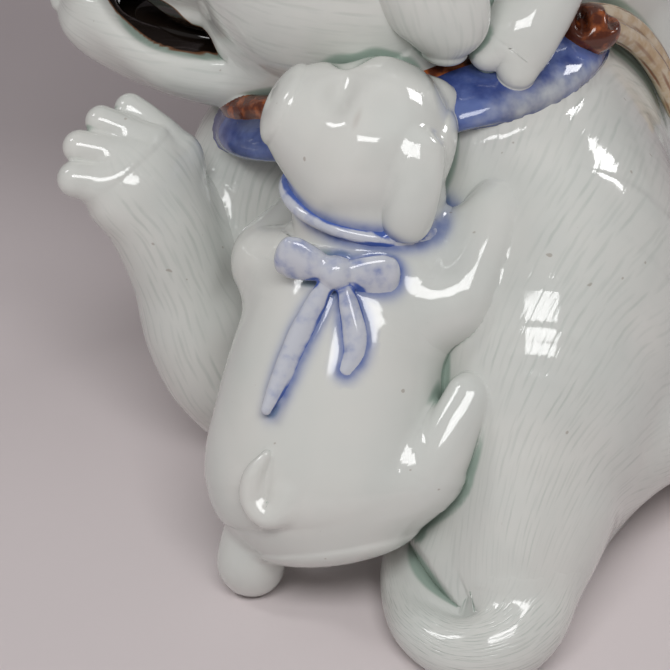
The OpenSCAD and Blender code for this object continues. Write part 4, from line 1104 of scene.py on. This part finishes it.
def bib_glaze():
    """Blots of two blues, with painted shade darkest by the neck under the head, white on the outer rim, and
    darker again in creases, as pooled cobalt and painted shade. The rim's layer is one on the middle of the
    roll and grows outwards."""
    g = Graph("cobalt_bib")
    blots = g.noise(7, 4)
    colour = g.mix(blots.rise(0.35, 0.68), BIB_DARK, BIB_LIGHT)
    edge = g.layer("rim") + 0.14 * (g.noise(5, 3) - 0.5)
    # Painted shade: nearly black by the neck, where the head shades the bib.
    colour = g.mix((1.06 - edge).rise(0.0, 0.16) * 0.85, colour, BIB_NECK_SHADE)
    colour = g.mix(edge.rise(1.26, 1.4), colour, BIB_EDGE)
    # Creases darker, as pooled cobalt and painted shade.
    colour = g.mix(g.layer("pool_and_shade").rise(0.5, 1.0) * 0.6, colour, BIB_POOL_AND_SHADE)
    return g.glaze(0.3 * blots, 0.12, colour, 0.07 + 0.04 * g.noise(6))


# %% [markdown]
# Iron gives brown: nearly black where the glaze is deep and rust red where it is thin, and its creases are
# also darkened as painted shade. The cord ends carry only a wash of it, with thin brown lines along them.

# %% Brown and tan glazes
# Near black in creases stands for deep iron glaze and for painted shade.
IRON_DARK, IRON_RUST, IRON_POOL_AND_SHADE = (0.09, 0.02, 0.008, 1), (0.36, 0.095, 0.025, 1), (0.012, 0.005, 0.004, 1)
CORD_PALE, CORD_TAN, CORD_LINE = (0.62, 0.53, 0.41, 1), (0.48, 0.34, 0.20, 1), (0.20, 0.06, 0.02, 1)


def iron_glaze():
    """Blots of dark and rust brown, nearly black in creases as deep glaze and painted shade."""
    g = Graph("iron_brown")
    blots = g.noise(2.6, 4)
    colour = g.mix(blots.rise(0.45, 0.72), IRON_DARK, IRON_RUST)
    # Creases nearly black, as deep iron glaze and painted crease shade.
    colour = g.mix(g.layer("pool_and_shade").rise(0.4, 1.0) * 0.8, colour, IRON_POOL_AND_SHADE)
    return g.glaze(0.3 * blots, 0.12, colour, 0.08 + 0.08 * blots)


def tan_glaze():
    """A pale wash in blots, with brown strokes that are cut a little into it."""
    g = Graph("tan_cord")
    blots = g.noise(3, 3)
    lines = g.strokes(2.4, 15.0, 5, 1.0)
    colour = g.mix(blots.rise(0.3, 0.7), CORD_PALE, CORD_TAN)
    colour = g.mix(lines * 0.9, colour, CORD_LINE)
    return g.glaze(-1.0 * lines, 0.12, colour, 0.08 + 0.06 * blots)


# %% [markdown]
# Her coat has long strokes, her hind legs and her tail short ones, and the puppies none. Every other piece
# takes the glaze of its slot.

# %% Laying on the glazes
LONG_FUR, SHORT_FUR = (2.6, 13.0), (1.6, 5.0)
coat, curls = white_glaze("white_coat", LONG_FUR), white_glaze("white_curls", SHORT_FUR)
smooth = white_glaze("white_smooth")
ribbon, bib_blue, iron, tan = ribbon_glaze(), bib_glaze(), iron_glaze(), tan_glaze()
for node, thing in made.items():
    slot = next(note["slot"] for note in PIECES.values() if note["node"] == node)
    fur = curls if "tail" in node or "_leg" in node else coat
    thing.data.materials.append({"porcelain": fur if node.startswith("mother") else smooth,
                                 "cobalt_glaze": bib_blue if node == "collar_bib" else ribbon,
                                 "iron_brown_glaze": iron, "tan_glaze": tan}[slot])
print("glazes laid on", len(made), "pieces")

# %% [markdown]
# The group stands on a pale paper sweep that runs up behind it and falls off into shade. The shade is in the
# paper's colour, and it deepens with the way back from the group.

# %% Floor
PAPER_PALE, PAPER_SHADE = (0.70, 0.635, 0.64, 1), (0.37, 0.325, 0.335, 1)


def sweep(across, depth, rise, bend):
    """A sheet that lies flat, bends up in a quarter circle and stands: a profile of length along y and z."""
    turn = np.linspace(0, np.pi / 2, 17)
    profile = np.vstack([[[-depth, 0]], np.stack([depth + bend * np.sin(turn), bend * (1 - np.cos(turn))], 1),
                         [[depth + bend, rise]]])
    co = np.stack([np.column_stack([np.full(len(profile), x), profile]) for x in (-across, across)], 1)
    index = np.arange(2 * len(profile)).reshape(-1, 2)
    faces = np.stack([index[:-1, 0], index[:-1, 1], index[1:, 1], index[1:, 0]], 1)
    mesh = bpy.data.meshes.new("paper")
    mesh.from_pydata(co.reshape(-1, 3).tolist(), [], faces.tolist())
    mesh.polygons.foreach_set("use_smooth", np.ones(len(faces), bool))
    return mesh


paper = bpy.data.objects.new("paper", sweep(across=1.6, depth=1.2, rise=1.6, bend=0.4))
bpy.context.scene.collection.objects.link(paper)
g = Graph("paper")
place = g.add("ShaderNodeTexCoord", output="Object")
shade = g.add("ShaderNodeSeparateXYZ", inputs={0: place}, output=1).rise(-0.03, 0.2)
shade = shade * (0.95 + 0.1 * g.noise(60, 2))
colour = g.mix(shade, PAPER_PALE, PAPER_SHADE)
paper.data.materials.append(g.done(g.noise(2, 3), 0.02, Base_Color=colour, Roughness=0.8))
print("paper laid, with", len(paper.data.polygons), "faces")

# %% [markdown]
# Three soft boxes light the group, from the left, from above the camera and from the right. The bright panes
# in the glaze are their images.

# %% Light
ROOM = (0.20, 0.194, 0.194, 1)
HERE = (-0.03, 0, 0.05)


def soft_box(name, at, aim, wide, tall, power):
    """A rectangular lamp that faces the aim."""
    lamp = bpy.data.lights.new(name, "AREA")
    lamp.shape, lamp.size, lamp.size_y, lamp.energy = "RECTANGLE", wide, tall, power
    thing = bpy.data.objects.new(name, lamp)
    thing.location = at
    thing.rotation_euler = (Vector(at) - Vector(aim)).to_track_quat("Z", "Y").to_euler()
    bpy.context.scene.collection.objects.link(thing)


soft_box("box_left", (-0.85, 0.12, 0.8), HERE, wide=0.20, tall=0.30, power=1.6)
soft_box("box_front", (-0.05, -0.66, 0.86), HERE, wide=0.75, tall=0.30, power=6.0)
soft_box("box_right", (0.80, 0.45, 0.62), HERE, wide=0.24, tall=0.30, power=2.4)
world = bpy.data.worlds.new("room")
world.use_nodes = True
world.node_tree.nodes["Background"].inputs["Color"].default_value = ROOM
bpy.context.scene.world = world
bpy.context.scene.view_settings.view_transform = "Standard"
print("lamps:", [lamp.name for lamp in bpy.data.lights])
